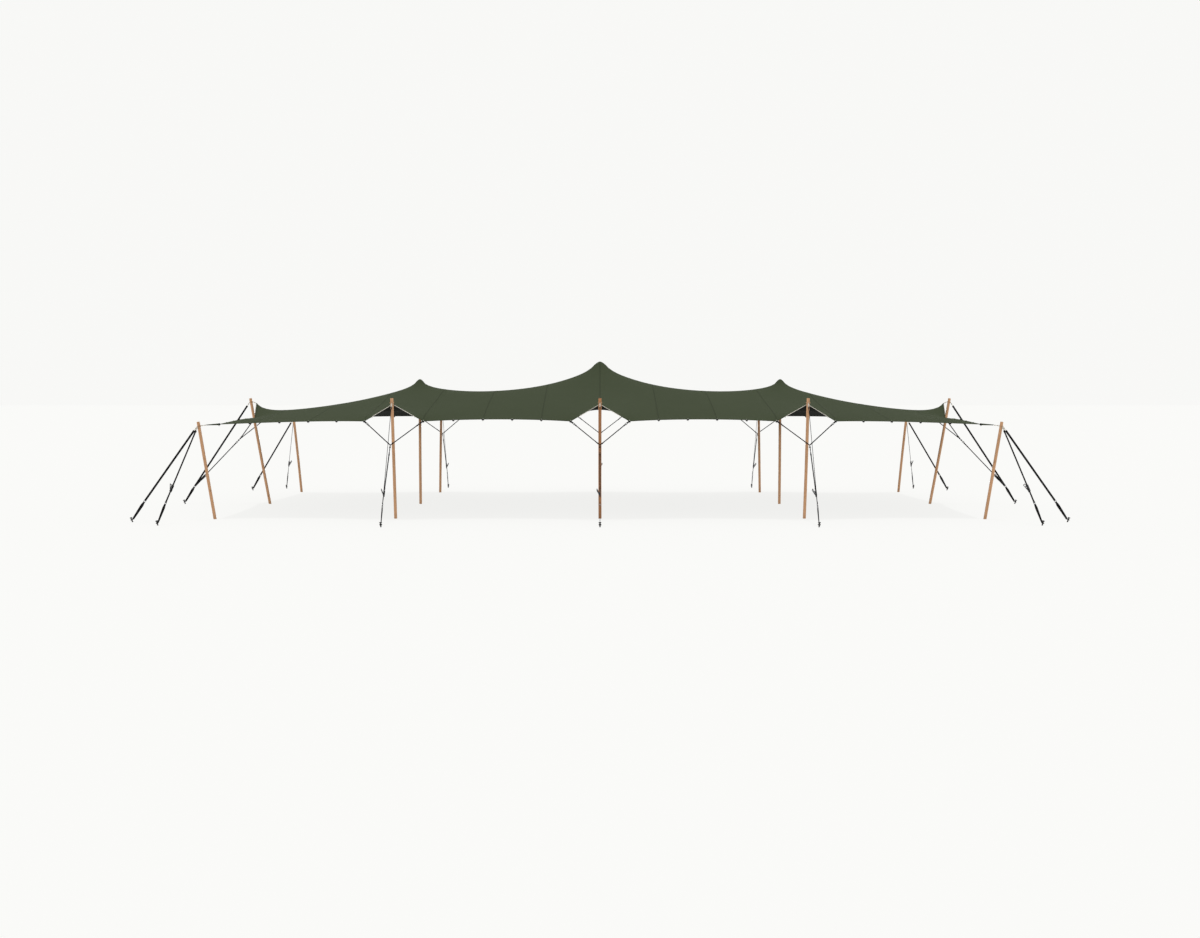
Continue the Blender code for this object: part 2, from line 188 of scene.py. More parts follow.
def sheetPattern(finish, colour, contrast):
    # panels with their seams and stitch rows, the hem band and the peak patches, in cloth metres
    cloth = finish.node("ShaderNodeUVMap", {"uv_map": "cloth"})
    along, out, _ = finish.parts(cloth)
    panelNumber = finish.node("ShaderNodeMath", {"operation": "FLOOR"}, {0: along * (1 / canopy["panel"])})
    panelTone = finish.node("ShaderNodeTexWhiteNoise", {"noise_dimensions": "1D"}, {"W": panelNumber})
    fromSeam = finish.wave(along, canopy["panel"])
    seam = 1 - finish.fade(fromSeam, canopy["seamWidth"] * 0.42, canopy["seamWidth"] * 0.55)
    toHem = finish.node("ShaderNodeMath", {"operation": "MINIMUM"}, {
        0: canopy["endU"] - abs(along), 1: canopy["endV"] - abs(out)})
    hem = 1 - finish.fade(toHem, canopy["hemBand"] * 0.92, canopy["hemBand"])
    place = finish.place()
    cloudy = finish.noise(place, 0.55, 4.0, 0.6)
    patchy = finish.noise(place, 5.0, 3.0)
    speckled = finish.noise(cloth, 260.0, 2.0)
    rowA = abs(fromSeam - canopy["seamWidth"] * 0.34) < 0.0016
    rowB = abs(toHem - canopy["hemBand"] * 0.8) < 0.0016
    rowC = abs(toHem - canopy["hemBand"] * 0.25) < 0.0016
    dashV = finish.wave(out, 0.009) > 0.0013
    dashU = finish.wave(along + out, 0.009) > 0.0013
    rows = finish.node("ShaderNodeMath", {"operation": "MAXIMUM"}, {0: rowA * dashV, 1: (rowB + rowC) * dashU})
    tone = 1 + (panelTone - 0.5) * (0.035 * contrast)
    tone = tone + (cloudy - 0.5) * (0.10 * contrast) + (patchy - 0.5) * (0.06 * contrast)
    tone = tone + (speckled - 0.5) * (0.10 * contrast)
    tone = tone - seam * (0.2 * contrast) - hem * (0.10 * contrast)
    grey = finish.node("ShaderNodeCombineXYZ", None, {0: tone, 1: tone, 2: tone})
    base = finish.blend(1.0, (*colour, 1.0), grey, "MULTIPLY")
    base = finish.blend(rows * 0.5, base, shade(colour, 0.55))
    finish.feed("Base Color", base)
    rib = finish.wave(along, 0.0032) * 300 + finish.wave(out, 0.0024) * 180
    height = rib * 0.12 + speckled * 0.3 - rows * 0.9 + patchy * 0.3
    finish.bump(height, 0.35, 0.0006)
    finish.feed("Roughness", 0.84 + speckled * 0.12 - seam * 0.04)


def sheetTop():
    finish = Finish("oliveStretchCloth", canopy["colour"], canopy["roughness"], specular=0.02)
    sheetPattern(finish, canopy["colour"], 1.0)
    return finish.material


# the underside: the top's cloth and pattern, darkened to near black with stronger contrast, as painted shade
def sheetUnderPaintedShade():
    finish = Finish("darkClothInside", canopy["under"], 0.9, specular=0.03)
    sheetPattern(finish, canopy["under"], 1.4)
    return finish.material


def poleWood(name, colour):
    # bare round timber: long grain, a few knots, checks, rings on the cut top, dust at the foot
    finish = Finish(name, colour, 0.62, specular=0.12)
    lay = finish.lay()
    x, y, z = finish.parts(lay)
    grain = finish.noise(finish.scaled(lay, (34.0, 34.0, 1.1)), 1.0, 5.0, 0.62)
    streak = finish.noise(finish.scaled(lay, (90.0, 90.0, 2.4)), 1.0, 3.0, 0.6)
    broad = finish.noise(finish.scaled(lay, (6.0, 6.0, 0.9)), 1.0, 2.0)
    knots = finish.node("ShaderNodeTexVoronoi", {"feature": "F1"}, {
        "Vector": finish.scaled(lay, (11.0, 11.0, 2.6)), "Scale": 1.0}, "Distance")
    knot = 1 - finish.fade(knots, 0.06, 0.17)
    checks = finish.noise(finish.scaled(lay, (130.0, 130.0, 1.6)), 1.0, 2.0, 0.4)
    check = finish.fade(checks, 0.70, 0.74)
    outward = finish.node("ShaderNodeVectorMath", {"operation": "LENGTH"}, {
        0: finish.scaled(lay, (1.0, 1.0, 0.0))}, "Value")
    rings = finish.wave(outward, 0.0042) * 450
    base = finish.ramp(
        grain, (0.22, shade(colour, 0.72)[:3]), (0.42, shade(colour, 0.98)[:3]), (0.60, shade(colour, 1.12)[:3]),
        (0.82, shade(colour, 1.25)[:3]))
    base = finish.blend(finish.fade(streak, 0.52, 0.72) * 0.35, base, shade(colour, 0.62))
    base = finish.blend(finish.fade(broad, 0.45, 0.75) * 0.25, base, shade(colour, 1.3))
    base = finish.blend(knot * 0.7, base, shade(colour, 0.36))
    base = finish.blend(check * 0.6, base, shade(colour, 0.28))
    foot = 1 - finish.fade(finish.parts(finish.place())[2] + (broad - 0.5) * 0.12, 0.02, 0.16)
    base = finish.blend(foot * 0.4, base, shade(colour, 0.7))
    finish.feed("Base Color", base)
    finish.feed("Roughness", 0.58 + grain * 0.22 + knot * 0.05)
    finish.bump(grain * 0.6 + streak * 0.35 - check * 1.2 + knot * 0.5 + rings * 0.1, 0.5, 0.0016)
    return finish.material


def braidedRope(name, colour, dirt, pitch=0.028, strands=8):
    # strands that wind round the rope both ways, from the rope's own coordinates, with painted shade in the grooves
    # between them
    finish = Finish(name, colour, 0.85, specular=0.15)
    x, y, along = finish.parts(finish.lay())
    angle = finish.node("ShaderNodeMath", {"operation": "ARCTAN2"}, {0: y, 1: x}) * (1 / math.tau)
    turn = along * (1 / pitch)
    oneWay = finish.wave(angle * strands + turn * strands, 1.0)
    otherWay = finish.wave(angle * strands - turn * strands, 1.0)
    strandReliefAndGrooveShade = finish.node("ShaderNodeMath", {"operation": "MAXIMUM"}, {0: oneWay, 1: otherWay}) * 2
    fuzz = finish.noise(finish.place(), 420.0, 2.0)
    soil = finish.noise(finish.place(), 14.0, 4.0, 0.6)
    # the colour falls to half in the grooves between strands: painted shade
    tone = finish.blend(finish.fade(strandReliefAndGrooveShade, 0.35, 0.95), shade(colour, 0.5), (*colour, 1.0))
    tone = finish.blend(finish.fade(soil, 0.45, 0.75) * 0.5, tone, (*dirt, 1.0))
    tone = finish.blend(fuzz * 0.22, tone, shade(colour, 1.25))
    finish.feed("Base Color", tone)
    finish.feed("Roughness", 0.78 + fuzz * 0.2)
    finish.bump(strandReliefAndGrooveShade + fuzz * 0.2, 0.7, 0.0012)
    return finish.material


def blackWebbing():
    # ribs across a strap with painted shade between them, two selvedges, wear on the edges and dusty patches
    colour = (0.0075, 0.0075, 0.008)
    finish = Finish("blackWebbing", colour, 0.75, specular=0.12)
    width, thick, along = finish.parts(finish.lay())
    rib = finish.wave(along, 0.0026) * 750
    cord = finish.wave(width, 0.0045) * 440
    edge = finish.fade(abs(width), 0.021, 0.0255)
    selvedge = 1 - finish.fade(abs(abs(width) - 0.018), 0.0008, 0.0014)
    worn = finish.noise(finish.place(), 26.0, 5.0, 0.65)
    fibre = finish.noise(finish.place(), 600.0, 2.0)
    # darker between the ribs: painted shade
    tone = finish.blend(rib * 0.5, shade(colour, 0.55), shade(colour, 1.25))
    tone = finish.blend(edge * finish.fade(worn, 0.4, 0.7) * 0.4, tone, (0.035, 0.034, 0.032, 1.0))
    tone = finish.blend(finish.fade(worn, 0.58, 0.8) * 0.2, tone, (0.028, 0.026, 0.024, 1.0))
    tone = finish.blend(selvedge * 0.25, tone, (0.02, 0.02, 0.021, 1.0))
    tone = finish.blend(fibre * 0.12, tone, (0.02, 0.02, 0.021, 1.0))
    finish.feed("Base Color", tone)
    finish.feed("Roughness", 0.66 + fibre * 0.16 + edge * 0.1)
    finish.bump(rib + cord * 0.35 + fibre * 0.15 - selvedge * 0.3, 0.55, 0.0007)
    return finish.material


def stitchThread():
    colour = (0.12, 0.12, 0.115)
    finish = Finish("stitchThread", colour, 0.7, specular=0.3)
    fibre = finish.noise(finish.place(), 900.0, 2.0)
    finish.feed("Base Color", finish.blend(fibre, shade(colour, 0.6), shade(colour, 1.4)))
    finish.bump(fibre, 0.4, 0.0004)
    return finish.material


def platedSteel(name, colour, roughness, dull, rust=0.0, metallic=1.0):
    # zinc or black plating: spangled tone, rubbed edges, grey bloom and a little rust in cloudy patches
    finish = Finish(name, colour, roughness, metallic=metallic)
    place = finish.place()
    spangle = finish.node("ShaderNodeTexVoronoi", {"feature": "F1"}, {"Vector": place, "Scale": 220.0}, "Color")
    cells = finish.parts(spangle)[0]
    cloud = finish.noise(place, 45.0, 5.0, 0.6)
    fine = finish.noise(place, 500.0, 2.0)
    edge = finish.fade(finish.node("ShaderNodeNewGeometry", output="Pointiness"), 0.52, 0.58)
    tone = finish.blend(cells * 0.35, (*colour, 1.0), shade(colour, 0.72))
    tone = finish.blend(finish.fade(cloud, 0.42, 0.72) * dull, tone, shade(colour, 0.45))
    tone = finish.blend(edge * 0.6, tone, shade(colour, 1.3))
    rusted = finish.fade(cloud + (fine - 0.5) * 0.2, 0.64 - rust * 0.2, 0.74) * min(1.0, rust * 2)
    tone = finish.blend(rusted, tone, (0.13, 0.052, 0.022, 1.0))
    finish.feed("Base Color", tone)
    finish.feed("Metallic", metallic - rusted * (metallic * 0.9))
    finish.feed("Roughness", roughness + cloud * 0.22 + rusted * 0.35 - edge * 0.08)
    finish.bump(cloud * 0.5 + fine * 0.4 + rusted * 0.6, 0.3, 0.0005)
    return finish.material


def mouldedBlack(name, colour, roughness, specular=0.4):
    # glass-filled plastic or rubber: fine grain, scuffs and a trace of dust
    finish = Finish(name, colour, roughness, specular=specular)
    place = finish.place()
    grain = finish.noise(place, 850.0, 2.0)
    scuff = finish.noise(finish.scaled(place, (40.0, 40.0, 160.0)), 1.0, 4.0, 0.7)
    dust = finish.noise(place, 18.0, 4.0)
    tone = finish.blend(finish.fade(scuff, 0.6, 0.75) * 0.4, (*colour, 1.0), shade(colour, 2.6))
    tone = finish.blend(finish.fade(dust, 0.5, 0.8) * 0.25, tone, (0.11, 0.10, 0.09, 1.0))
    finish.feed("Base Color", tone)
    finish.feed("Roughness", roughness + grain * 0.15 + dust * 0.1)
    finish.bump(grain + scuff * 0.5, 0.35, 0.0005)
    return finish.material


topCloth = sheetTop()
underClothPaintedShade = sheetUnderPaintedShade()
timber = poleWood("poleTimber", (0.272, 0.153, 0.082))
# the same timber darkened for the middle perimeter poles: painted shade
middlePoleShadedTimber = poleWood("poleTimberDark", (0.196, 0.091, 0.041))
paleRope = braidedRope("paleRope", (0.44, 0.42, 0.37), (0.30, 0.28, 0.24))
hempRope = braidedRope("hempRope", (0.29, 0.175, 0.10), (0.21, 0.125, 0.07))
darkRope = braidedRope("darkRope", (0.014, 0.014, 0.015), (0.035, 0.033, 0.030))
webbing = blackWebbing()
thread = stitchThread()
zinc = platedSteel("zincPlate", (0.42, 0.42, 0.43), 0.34, 0.5)
blackSteel = platedSteel("blackedSteel", (0.022, 0.022, 0.024), 0.5, 0.3, 0.08, 0.0)
forged = platedSteel("forgedStake", (0.026, 0.025, 0.024), 0.6, 0.4, 0.12, 0.0)
blackMoulding = mouldedBlack("blackMoulding", (0.008, 0.008, 0.0085), 0.6, 0.12)
capRubber = mouldedBlack("capRubber", (0.022, 0.021, 0.020), 0.75)
paleMoulding = mouldedBlack("paleMoulding", (0.40, 0.42, 0.34), 0.5)
print("finishes made", len(bpy.data.materials))


def newPart():
    part = bmesh.new()
    part.verts.layers.float_vector.new("lay")
    return part


def addPart(whole, part, matrix=None, keepLay=False):
    # a part goes into a piece with its own coordinates kept in the lay attribute
    lay = part.verts.layers.float_vector["lay"]
    if not keepLay:
        for vert in part.verts:
            vert[lay] = vert.co
    if matrix is not None:
        part.transform(matrix)
    mesh = bpy.data.meshes.new("part")
    part.to_mesh(mesh)
    part.free()
    whole.from_mesh(mesh)
    bpy.data.meshes.remove(mesh)


def finishPiece(name, whole, materials, node, sharp=40):
    # puts a piece in the scene: it rides on the frame, and replaces a node where one is named
    bmesh.ops.recalc_face_normals(whole, faces=whole.faces)
    mesh = bpy.data.meshes.new(name)
    whole.to_mesh(mesh)
    whole.free()
    piece = bpy.data.objects.new(name, mesh)
    bpy.context.scene.collection.objects.link(piece)
    for material in materials:
        mesh.materials.append(material)
    mesh.shade_smooth()
    mesh.set_sharp_from_angle(angle=math.radians(sharp))
    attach(piece, "root")
    if node:
        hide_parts(node)
    return piece


def frameAt(point, along, flat):
    # Z runs along, Y as near as can be to flat
    along = along.normalized()
    across = flat.cross(along).normalized()
    return Matrix.Translation(point) @ Matrix((across, along.cross(across), along)).transposed().to_4x4()


def framesAlong(points, flat):
    frames = []
    for i, point in enumerate(points):
        before = points[max(i - 1, 0)]
        after = points[min(i + 1, len(points) - 1)]
        frames.append(frameAt(point, after - before, flat))
    return frames


def anyFlat(direction):
    return up if abs(direction.normalized().z) < 0.9 else Vector((1, 0, 0))


def sweep(points, radii, flat=None, sides=8, width=1.0, startAt=0.0, capped=True):
    # a round or flattened section drawn along points, extruded ring by ring
    points = [Vector(point) for point in points]
    if isinstance(radii, (int, float)):
        radii = [radii] * len(points)
    frames = framesAlong(points, flat or anyFlat(points[-1] - points[0]))
    part = newPart()
    lay = part.verts.layers.float_vector["lay"]
    bmesh.ops.create_circle(part, segments=sides, radius=1.0)
    unit = [vert.co.copy() for vert in part.verts]
    ring = list(part.edges)
    travelled = startAt
    corners = list(part.verts)
    for i, (place, radius) in enumerate(zip(frames, radii)):
        if i:
            grown = bmesh.ops.extrude_edge_only(part, edges=ring)["geom"]
            ring = [item for item in grown if isinstance(item, bmesh.types.BMEdge) and item.is_boundary]
            fresh = {vert for edge in ring for vert in edge.verts}
            travelled += (points[i] - points[i - 1]).length
            back = frames[i - 1].inverted()
            change = radius / radii[i - 1]
            corners = [(vert, back @ vert.co * change) for vert in fresh]
        else:
            corners = [(vert, Vector((co.x * radius * width, co.y * radius, 0))) for vert, co in zip(corners, unit)]
        for vert, local in corners:
            vert.co = place @ local
            vert[lay] = (local.x, local.y, travelled)
    if capped:
        bmesh.ops.holes_fill(part, edges=[edge for edge in part.edges if edge.is_boundary], sides=sides)
    return part


def hoop(radius, wire, sides=20, wireSides=8, arc=math.tau):
    # a ring of round wire about Z
    part = newPart()
    turn = Matrix.Rotation(math.pi / 2, 4, "X")
    bmesh.ops.create_circle(part, segments=wireSides, radius=wire, matrix=Matrix.Translation((radius, 0, 0)) @ turn)
    bmesh.ops.spin(
        part, geom=part.verts[:] + part.edges[:], cent=(0, 0, 0), axis=(0, 0, 1), angle=arc, steps=sides,
        use_merge=arc >= math.tau)
    return part


def turned(profile, steps=24):
    # a profile of (radius, height) spun about Z
    part = newPart()
    made = [part.verts.new((radius, 0, height)) for radius, height in profile]
    edges = [part.edges.new(pair) for pair in zip(made, made[1:])]
    bmesh.ops.spin(
        part, geom=made + edges, cent=(0, 0, 0), axis=(0, 0, 1), angle=math.tau, steps=steps, use_merge=True)
    bmesh.ops.remove_doubles(part, verts=part.verts, dist=0.00005)
    return part


def block(size, bevel=0.0, segments=2):
    # a plate, lug or strap end with its edges rounded
    part = newPart()
    bmesh.ops.create_cube(part, size=1.0)
    bmesh.ops.scale(part, vec=size, verts=part.verts)
    if bevel:
        bmesh.ops.bevel(
            part, geom=part.edges[:], offset=bevel, affect="EDGES", segments=segments, profile=0.5,
            material=-1, clamp_overlap=True)
    return part


def helix(start, along, radius, pitch, turns, perTurn=10):
    # points of a winding about an axis
    place = frameAt(start, along, anyFlat(along))
    count = int(turns * perTurn) + 1
    return [place @ Vector((
        radius * math.cos(math.tau * i / perTurn), radius * math.sin(math.tau * i / perTurn),
        pitch * i / perTurn)) for i in range(count)]


def whipping(whole, start, along, core, cord, turns=4):
    # cord wound round a rope where it is made fast
    addPart(whole, sweep(helix(start, along, core + cord, cord * 2, turns, 8), cord, sides=5), keepLay=True)


def hemReach(place, posts, end, tie, bridle, corner, scallop, cornerScallop):
    # how far out the hem stands: straight beside a pole, drawn in between held fittings
    knots = []
    for post in posts:
        if post > 0:
            knots.append((post - canopy["fitting"], bridle))
        knots += [(post, tie), (post + canopy["fitting"], bridle)]
    knots.append((end, corner))
    place = np.abs(place)
    reach = np.interp(place, *zip(*knots))
    for (start, _), (stop, _) in zip(knots, knots[1:]):
        if stop - start > canopy["fitting"] * 1.01:
            t = np.clip((place - start) / (stop - start), 0, 1)
            reach -= (cornerScallop if stop == end else scallop) * 4 * t * (1 - t)
    return reach


def clothLines(half, peaks, spread):
    count = round(2 * half / canopy["mesh"])
    lines = set(np.round(np.linspace(-half, half, count + 1), 5))
    for peak in peaks:
        for step in spread:
            lines.update((round(peak - step, 5), round(peak + step, 5)))
    return np.array(sorted(lines))


def planOf(linesU, linesV):
    c = canopy
    u, v = np.meshgrid(linesU, linesV, indexing="ij")
    reachX = hemReach(
        v, (0.0,), c["endV"], c["tieX"], c["bridleX"], c["cornerX"], 0.0, c["scallopShort"])
    reachY = hemReach(
        u, (0.0, c["postU"]), c["endU"], c["tieY"], c["bridleY"], c["cornerY"], c["scallopLong"],
        c["scallopCorner"])
    inner = np.minimum(np.abs(u), c["postU"]) / c["postU"] * c["postX"]
    outer = np.maximum(np.abs(u) - c["postU"], 0) / (c["endU"] - c["postU"]) * (reachX - c["postX"])
    return u, v, np.copysign(inner + outer, u), v / c["endV"] * reachY


def heldPoints(u, v, x, y):
    # heights where poles, ropes and bridles hold the sheet
    c = canopy
    heights = np.full(u.shape, np.nan)
    for peakX, top, slope, rounding, reach in c["peaks"]:
        radius = np.hypot(np.abs(x) - peakX, y)
        near = radius < reach
        heights[near] = top - (np.hypot(slope * radius[near], rounding) - rounding)
    onLong = np.abs(np.abs(v) - c["endV"]) < 1e-4
    onShort = np.abs(np.abs(u) - c["endU"]) < 1e-4
    fromPost = np.minimum(np.abs(u), np.abs(np.abs(u) - c["postU"]))
    for edge, offset in ((onLong, fromPost), (onShort, np.abs(v))):
        heights[edge & (offset < 1e-4)] = c["tieZ"]
        heights[edge & (np.abs(offset - c["fitting"]) < 1e-4)] = c["bridleZ"]
    heights[onLong & onShort] = c["cornerZ"]
    return heights


def shareOf(lines):
    gaps = np.diff(lines)
    share = np.zeros(len(lines))
    share[:-1] += gaps / 2
    share[1:] += gaps / 2
    return gaps, share


def stretchedHeights(linesU, linesV, u, v, x, y):
    # every free point rests where the pull of its threads balances, found by conjugate gradients
    c = canopy
    gapU, shareU = shareOf(linesU)
    gapV, shareV = shareOf(linesV)

    def patched(atX, atY):
        pull = np.ones(atX.shape)
        for peakX in (-c["postX"], 0.0, c["postX"]):
            pull += c["patch"] * np.exp(-((atX - peakX) ** 2 + atY ** 2) / c["patchRadius"] ** 2)
        return pull

    stiffU = shareV[None, :] / gapU[:, None] * patched((x[1:] + x[:-1]) / 2, (y[1:] + y[:-1]) / 2)
    stiffV = shareU[:, None] / gapV[None, :] * patched((x[:, 1:] + x[:, :-1]) / 2, (y[:, 1:] + y[:, :-1]) / 2)
    stiffU[:, [0, -1]] += (c["hemLong"] / gapU)[:, None]
    stiffV[[0, -1], :] += (c["hemShort"] / gapV)[None, :]
    held = heldPoints(u, v, x, y)
    free = np.isnan(held)
    heights = np.where(free, 2.8, held)

    def balance(z):
        total = np.zeros(z.shape)
        flow = stiffU * (z[1:] - z[:-1])
        total[:-1] -= flow
        total[1:] += flow
        flow = stiffV * (z[:, 1:] - z[:, :-1])
        total[:, :-1] -= flow
        total[:, 1:] += flow
        return total * free

    weight = np.zeros(u.shape)
    weight[:-1] += stiffU
    weight[1:] += stiffU
    weight[:, :-1] += stiffV
    weight[:, 1:] += stiffV
    rest = (c["lift"] * np.outer(shareU, shareV)) * free - balance(heights)
    step = rest / weight
    size = np.sum(rest * step)
    for _ in range(3000):
        pulled = balance(step)
        length = size / np.sum(step * pulled)
        heights = heights + length * step
        rest = rest - length * pulled
        eased = rest / weight
        newSize = np.sum(rest * eased)
        if newSize < 1e-14:
            break
        step = eased + newSize / size * step
        size = newSize
    return heights


def withLines(lines, extra):
    # more grid lines between the solved ones
    return np.array(sorted(set(np.round(lines, 5)) | {round(value, 5) for value in extra}))


def finerGrid(grid, linesU, linesV, finerU, finerV):
    step = np.stack([np.interp(finerU, linesU, grid[:, j]) for j in range(len(linesV))], axis=1)
    return np.stack([np.interp(finerV, linesV, step[i]) for i in range(len(finerU))], axis=0)


c = canopy
spread = (0.03, 0.06, 0.09, 0.155)
linesU = clothLines(c["endU"], (-c["postU"], 0.0, c["postU"]), spread)
linesV = clothLines(c["endV"], (0.0,), spread)
gridU, gridV, gridX, gridY = planOf(linesU, linesV)
gridZ = stretchedHeights(linesU, linesV, gridU, gridV, gridX, gridY)
print("sheet stretched over", gridZ.size, "points, lowest", round(float(gridZ.min()), 3))


def hemPoint(u, v):
    # a point on the solved sheet, by its place in the cloth
    i = int(np.argmin(np.abs(linesU - u)))
    j = int(np.argmin(np.abs(linesV - v)))
    return Vector((gridX[i, j], gridY[i, j], gridZ[i, j]))


def makeSheet():
    half = c["seamWidth"] / 2
    seams = [k * c["panel"] for k in range(-6, 7)]
    seamLines = [seam + side * step for seam in seams for side in (-1, 1) for step in (half, half + 0.004)]
    inset = c["hemBand"]
    finerU = withLines(linesU, seamLines + [c["endU"] - inset, inset - c["endU"]])
    finerV = withLines(linesV, [c["endV"] - inset, inset - c["endV"]])
    x, y, z = (finerGrid(grid, linesU, linesV, finerU, finerV) for grid in (gridX, gridY, gridZ))
    onSeam = np.min(np.abs(finerU[:, None] - np.array(seams)[None, :]), axis=1) < half + 0.001
    z = z + onSeam[:, None] * c["seamRise"]
    part = bmesh.new()
    bmesh.ops.create_grid(part, x_segments=len(finerU) - 1, y_segments=len(finerV) - 1, size=1.0)
    cloth = part.loops.layers.uv.new("cloth")
    places = {}
    for vert in part.verts:
        i = round((vert.co.x + 1) / 2 * (len(finerU) - 1))
        j = round((vert.co.y + 1) / 2 * (len(finerV) - 1))
        vert.co = (x[i, j], y[i, j], z[i, j])
        places[vert] = (finerU[i], finerV[j])
    for face in part.faces:
        for loop in face.loops:
            loop[cloth].uv = places[loop.vert]
    piece = finishPiece("canopySheet", part, [topCloth, underClothPaintedShade], "canopy", 70)
    solid = piece.modifiers.new("thickness", "SOLIDIFY")
    solid.thickness = c["thickness"]
    solid.offset = -1.0
    # the inside face takes the underside cloth with its painted shade
    solid.material_offset = 1
    return piece


sheet = makeSheet()


def hemRoute():
    # once round the hem, through every solved point of its edge
    route = [(i, 0) for i in range(len(linesU))]
    route += [(len(linesU) - 1, j) for j in range(1, len(linesV))]
    route += [(i, len(linesV) - 1) for i in range(len(linesU) - 2, -1, -1)]
    route += [(0, j) for j in range(len(linesV) - 2, -1, -1)]
    return [Vector((gridX[i, j], gridY[i, j], gridZ[i, j] - c["thickness"] / 2)) for i, j in route]


def hemCloth():
    finish = Finish("hemCloth", c["colour"], 0.85, specular=0.06)
    x, y, along = finish.parts(finish.lay())
    ruckReliefAndShade = finish.noise(finish.scaled(finish.lay(), (60.0, 60.0, 22.0)), 1.0, 3.0)
    ribs = finish.wave(along, 0.004) * 500
    # the cloth is darker in the low parts of its rucks: painted shade in the folds
    finish.feed("Base Color", finish.blend(ruckReliefAndShade, shade(c["colour"], 0.62), shade(c["colour"], 0.92)))
    finish.feed("Roughness", 0.8 + ruckReliefAndShade * 0.12)
    finish.bump(ribs * 0.4 + ruckReliefAndShade, 0.5, 0.0008)
    return finish.material


edgeCloth = hemCloth()


def makeHemBead():
    # the rope sewn into the rolled edge
    whole = newPart()
    addPart(whole, sweep(hemRoute(), c["beadRadius"], up, 8), keepLay=True)
    return finishPiece("hemBead", whole, [edgeCloth], None)


hemBead = makeHemBead()
print("sheet and hem made")

hemFitting = dict(
    width=0.056, height=0.036, drop=0.009, thickness=0.0035, inset=0.034, button=0.0155, ringRadius=0.011,
    ringWire=0.003)


def makeHemFittings():
    # at every fitting a webbing tab folded round the hem, a ring under it and a button on the cloth
    f = hemFitting
    tabs, rings, buttons = newPart(), newPart(), newPart()
    places = [(k * c["fitting"], side * c["endV"]) for side in (-1, 1) for k in range(-13, 14)]
    places += [(side * c["endU"], k * c["fitting"]) for side in (-1, 1) for k in range(-6, 7)]
    for u, v in places:
        point = hemPoint(u, v)
        onLong = abs(v) == c["endV"]
        outward = Vector((0, math.copysign(1, v), 0)) if onLong else Vector((math.copysign(1, u), 0, 0))
        inner = hemPoint(u, v - math.copysign(c["mesh"], v)) if onLong else hemPoint(
            u - math.copysign(c["mesh"], u), v)
        inward = (inner - point).normalized()
        onCloth = inward.cross(outward.cross(up)).normalized()
        onCloth *= math.copysign(1, onCloth.z)
        place = frameAt(point - up * f["drop"] + outward * 0.003, up, outward)
        tab = block((f["width"], f["thickness"] * 2 + 0.009, f["height"]), 0.003, 2)
        addPart(tabs, tab, place)
        ring = hoop(f["ringRadius"], f["ringWire"], 12, 5)
        below = Matrix.Translation((0, 0, -f["height"] / 2 - 0.005))
        stand = place @ below @ Matrix.Rotation(math.pi / 2, 4, "X")
        addPart(rings, ring, stand)
        b = f["button"]
        dome = turned([(b, -0.003), (b, 0.002), (b * 0.85, 0.006), (b * 0.45, 0.009), (0.0, 0.0095)], 16)
        addPart(buttons, dome, frameAt(point + inward * f["inset"] + onCloth * 0.001, onCloth, outward))
    tabPiece = finishPiece("hemTabs", tabs, [webbing], None)
    ringPiece = finishPiece("hemRings", rings, [blackSteel], None)
    buttonPiece = finishPiece("hemButtons", buttons, [paleMoulding], None)
    return [tabPiece, ringPiece, buttonPiece]


hemDressing = makeHemFittings()

edgeRope = dict(reach=0.6, radius=0.0065, drop=0.003)


def makeEdgeRopes():
    # pale rope that spreads each pole's pull along the hem on both sides of it
    whole = newPart()
    posts = [(u, side * c["endV"]) for side in (-1, 1) for u in (-c["postU"], 0.0, c["postU"])]
    posts += [(side * c["endU"], 0.0) for side in (-1, 1)]
    for u, v in posts:
        onLong = abs(v) == c["endV"]
        tie = hemPoint(u, v)
        outward = Vector((0, math.copysign(1, v), 0)) if onLong else Vector((math.copysign(1, u), 0, 0))
        for side in (-1, 1):
            stop = hemPoint(u + side * c["fitting"], v) if onLong else hemPoint(u, v + side * c["fitting"])
            along = (stop - tie).normalized()
            lift = outward * (edgeRope["radius"] + 0.004) - up * edgeRope["drop"]
            line = [tie + lift + along * edgeRope["reach"] * t for t in (0.0, 0.25, 0.5, 0.75, 1.0)]
            line.append(line[-1] + along * 0.02 - outward * 0.012 - up * 0.012)
            line.append(line[-1] - along * 0.012 - outward * 0.012 - up * 0.014)
            addPart(whole, sweep(line, edgeRope["radius"], up, 8), keepLay=True)
            whipping(whole, line[3], along, edgeRope["radius"], 0.002, 5)
    return finishPiece("edgeRopes", whole, [paleRope], None)


edgeRopes = makeEdgeRopes()
print("hem dressed")


pole = dict(
    radius=0.038, lean=0.525, top=3.01, footY=5.0, footX=9.42, round=0.008, bow=0.006,
    cornerFoot=(9.60, 5.17), cornerLean=(0.302, 0.31), cornerTop=2.43, capRadius=0.1, capEdge=0.014)


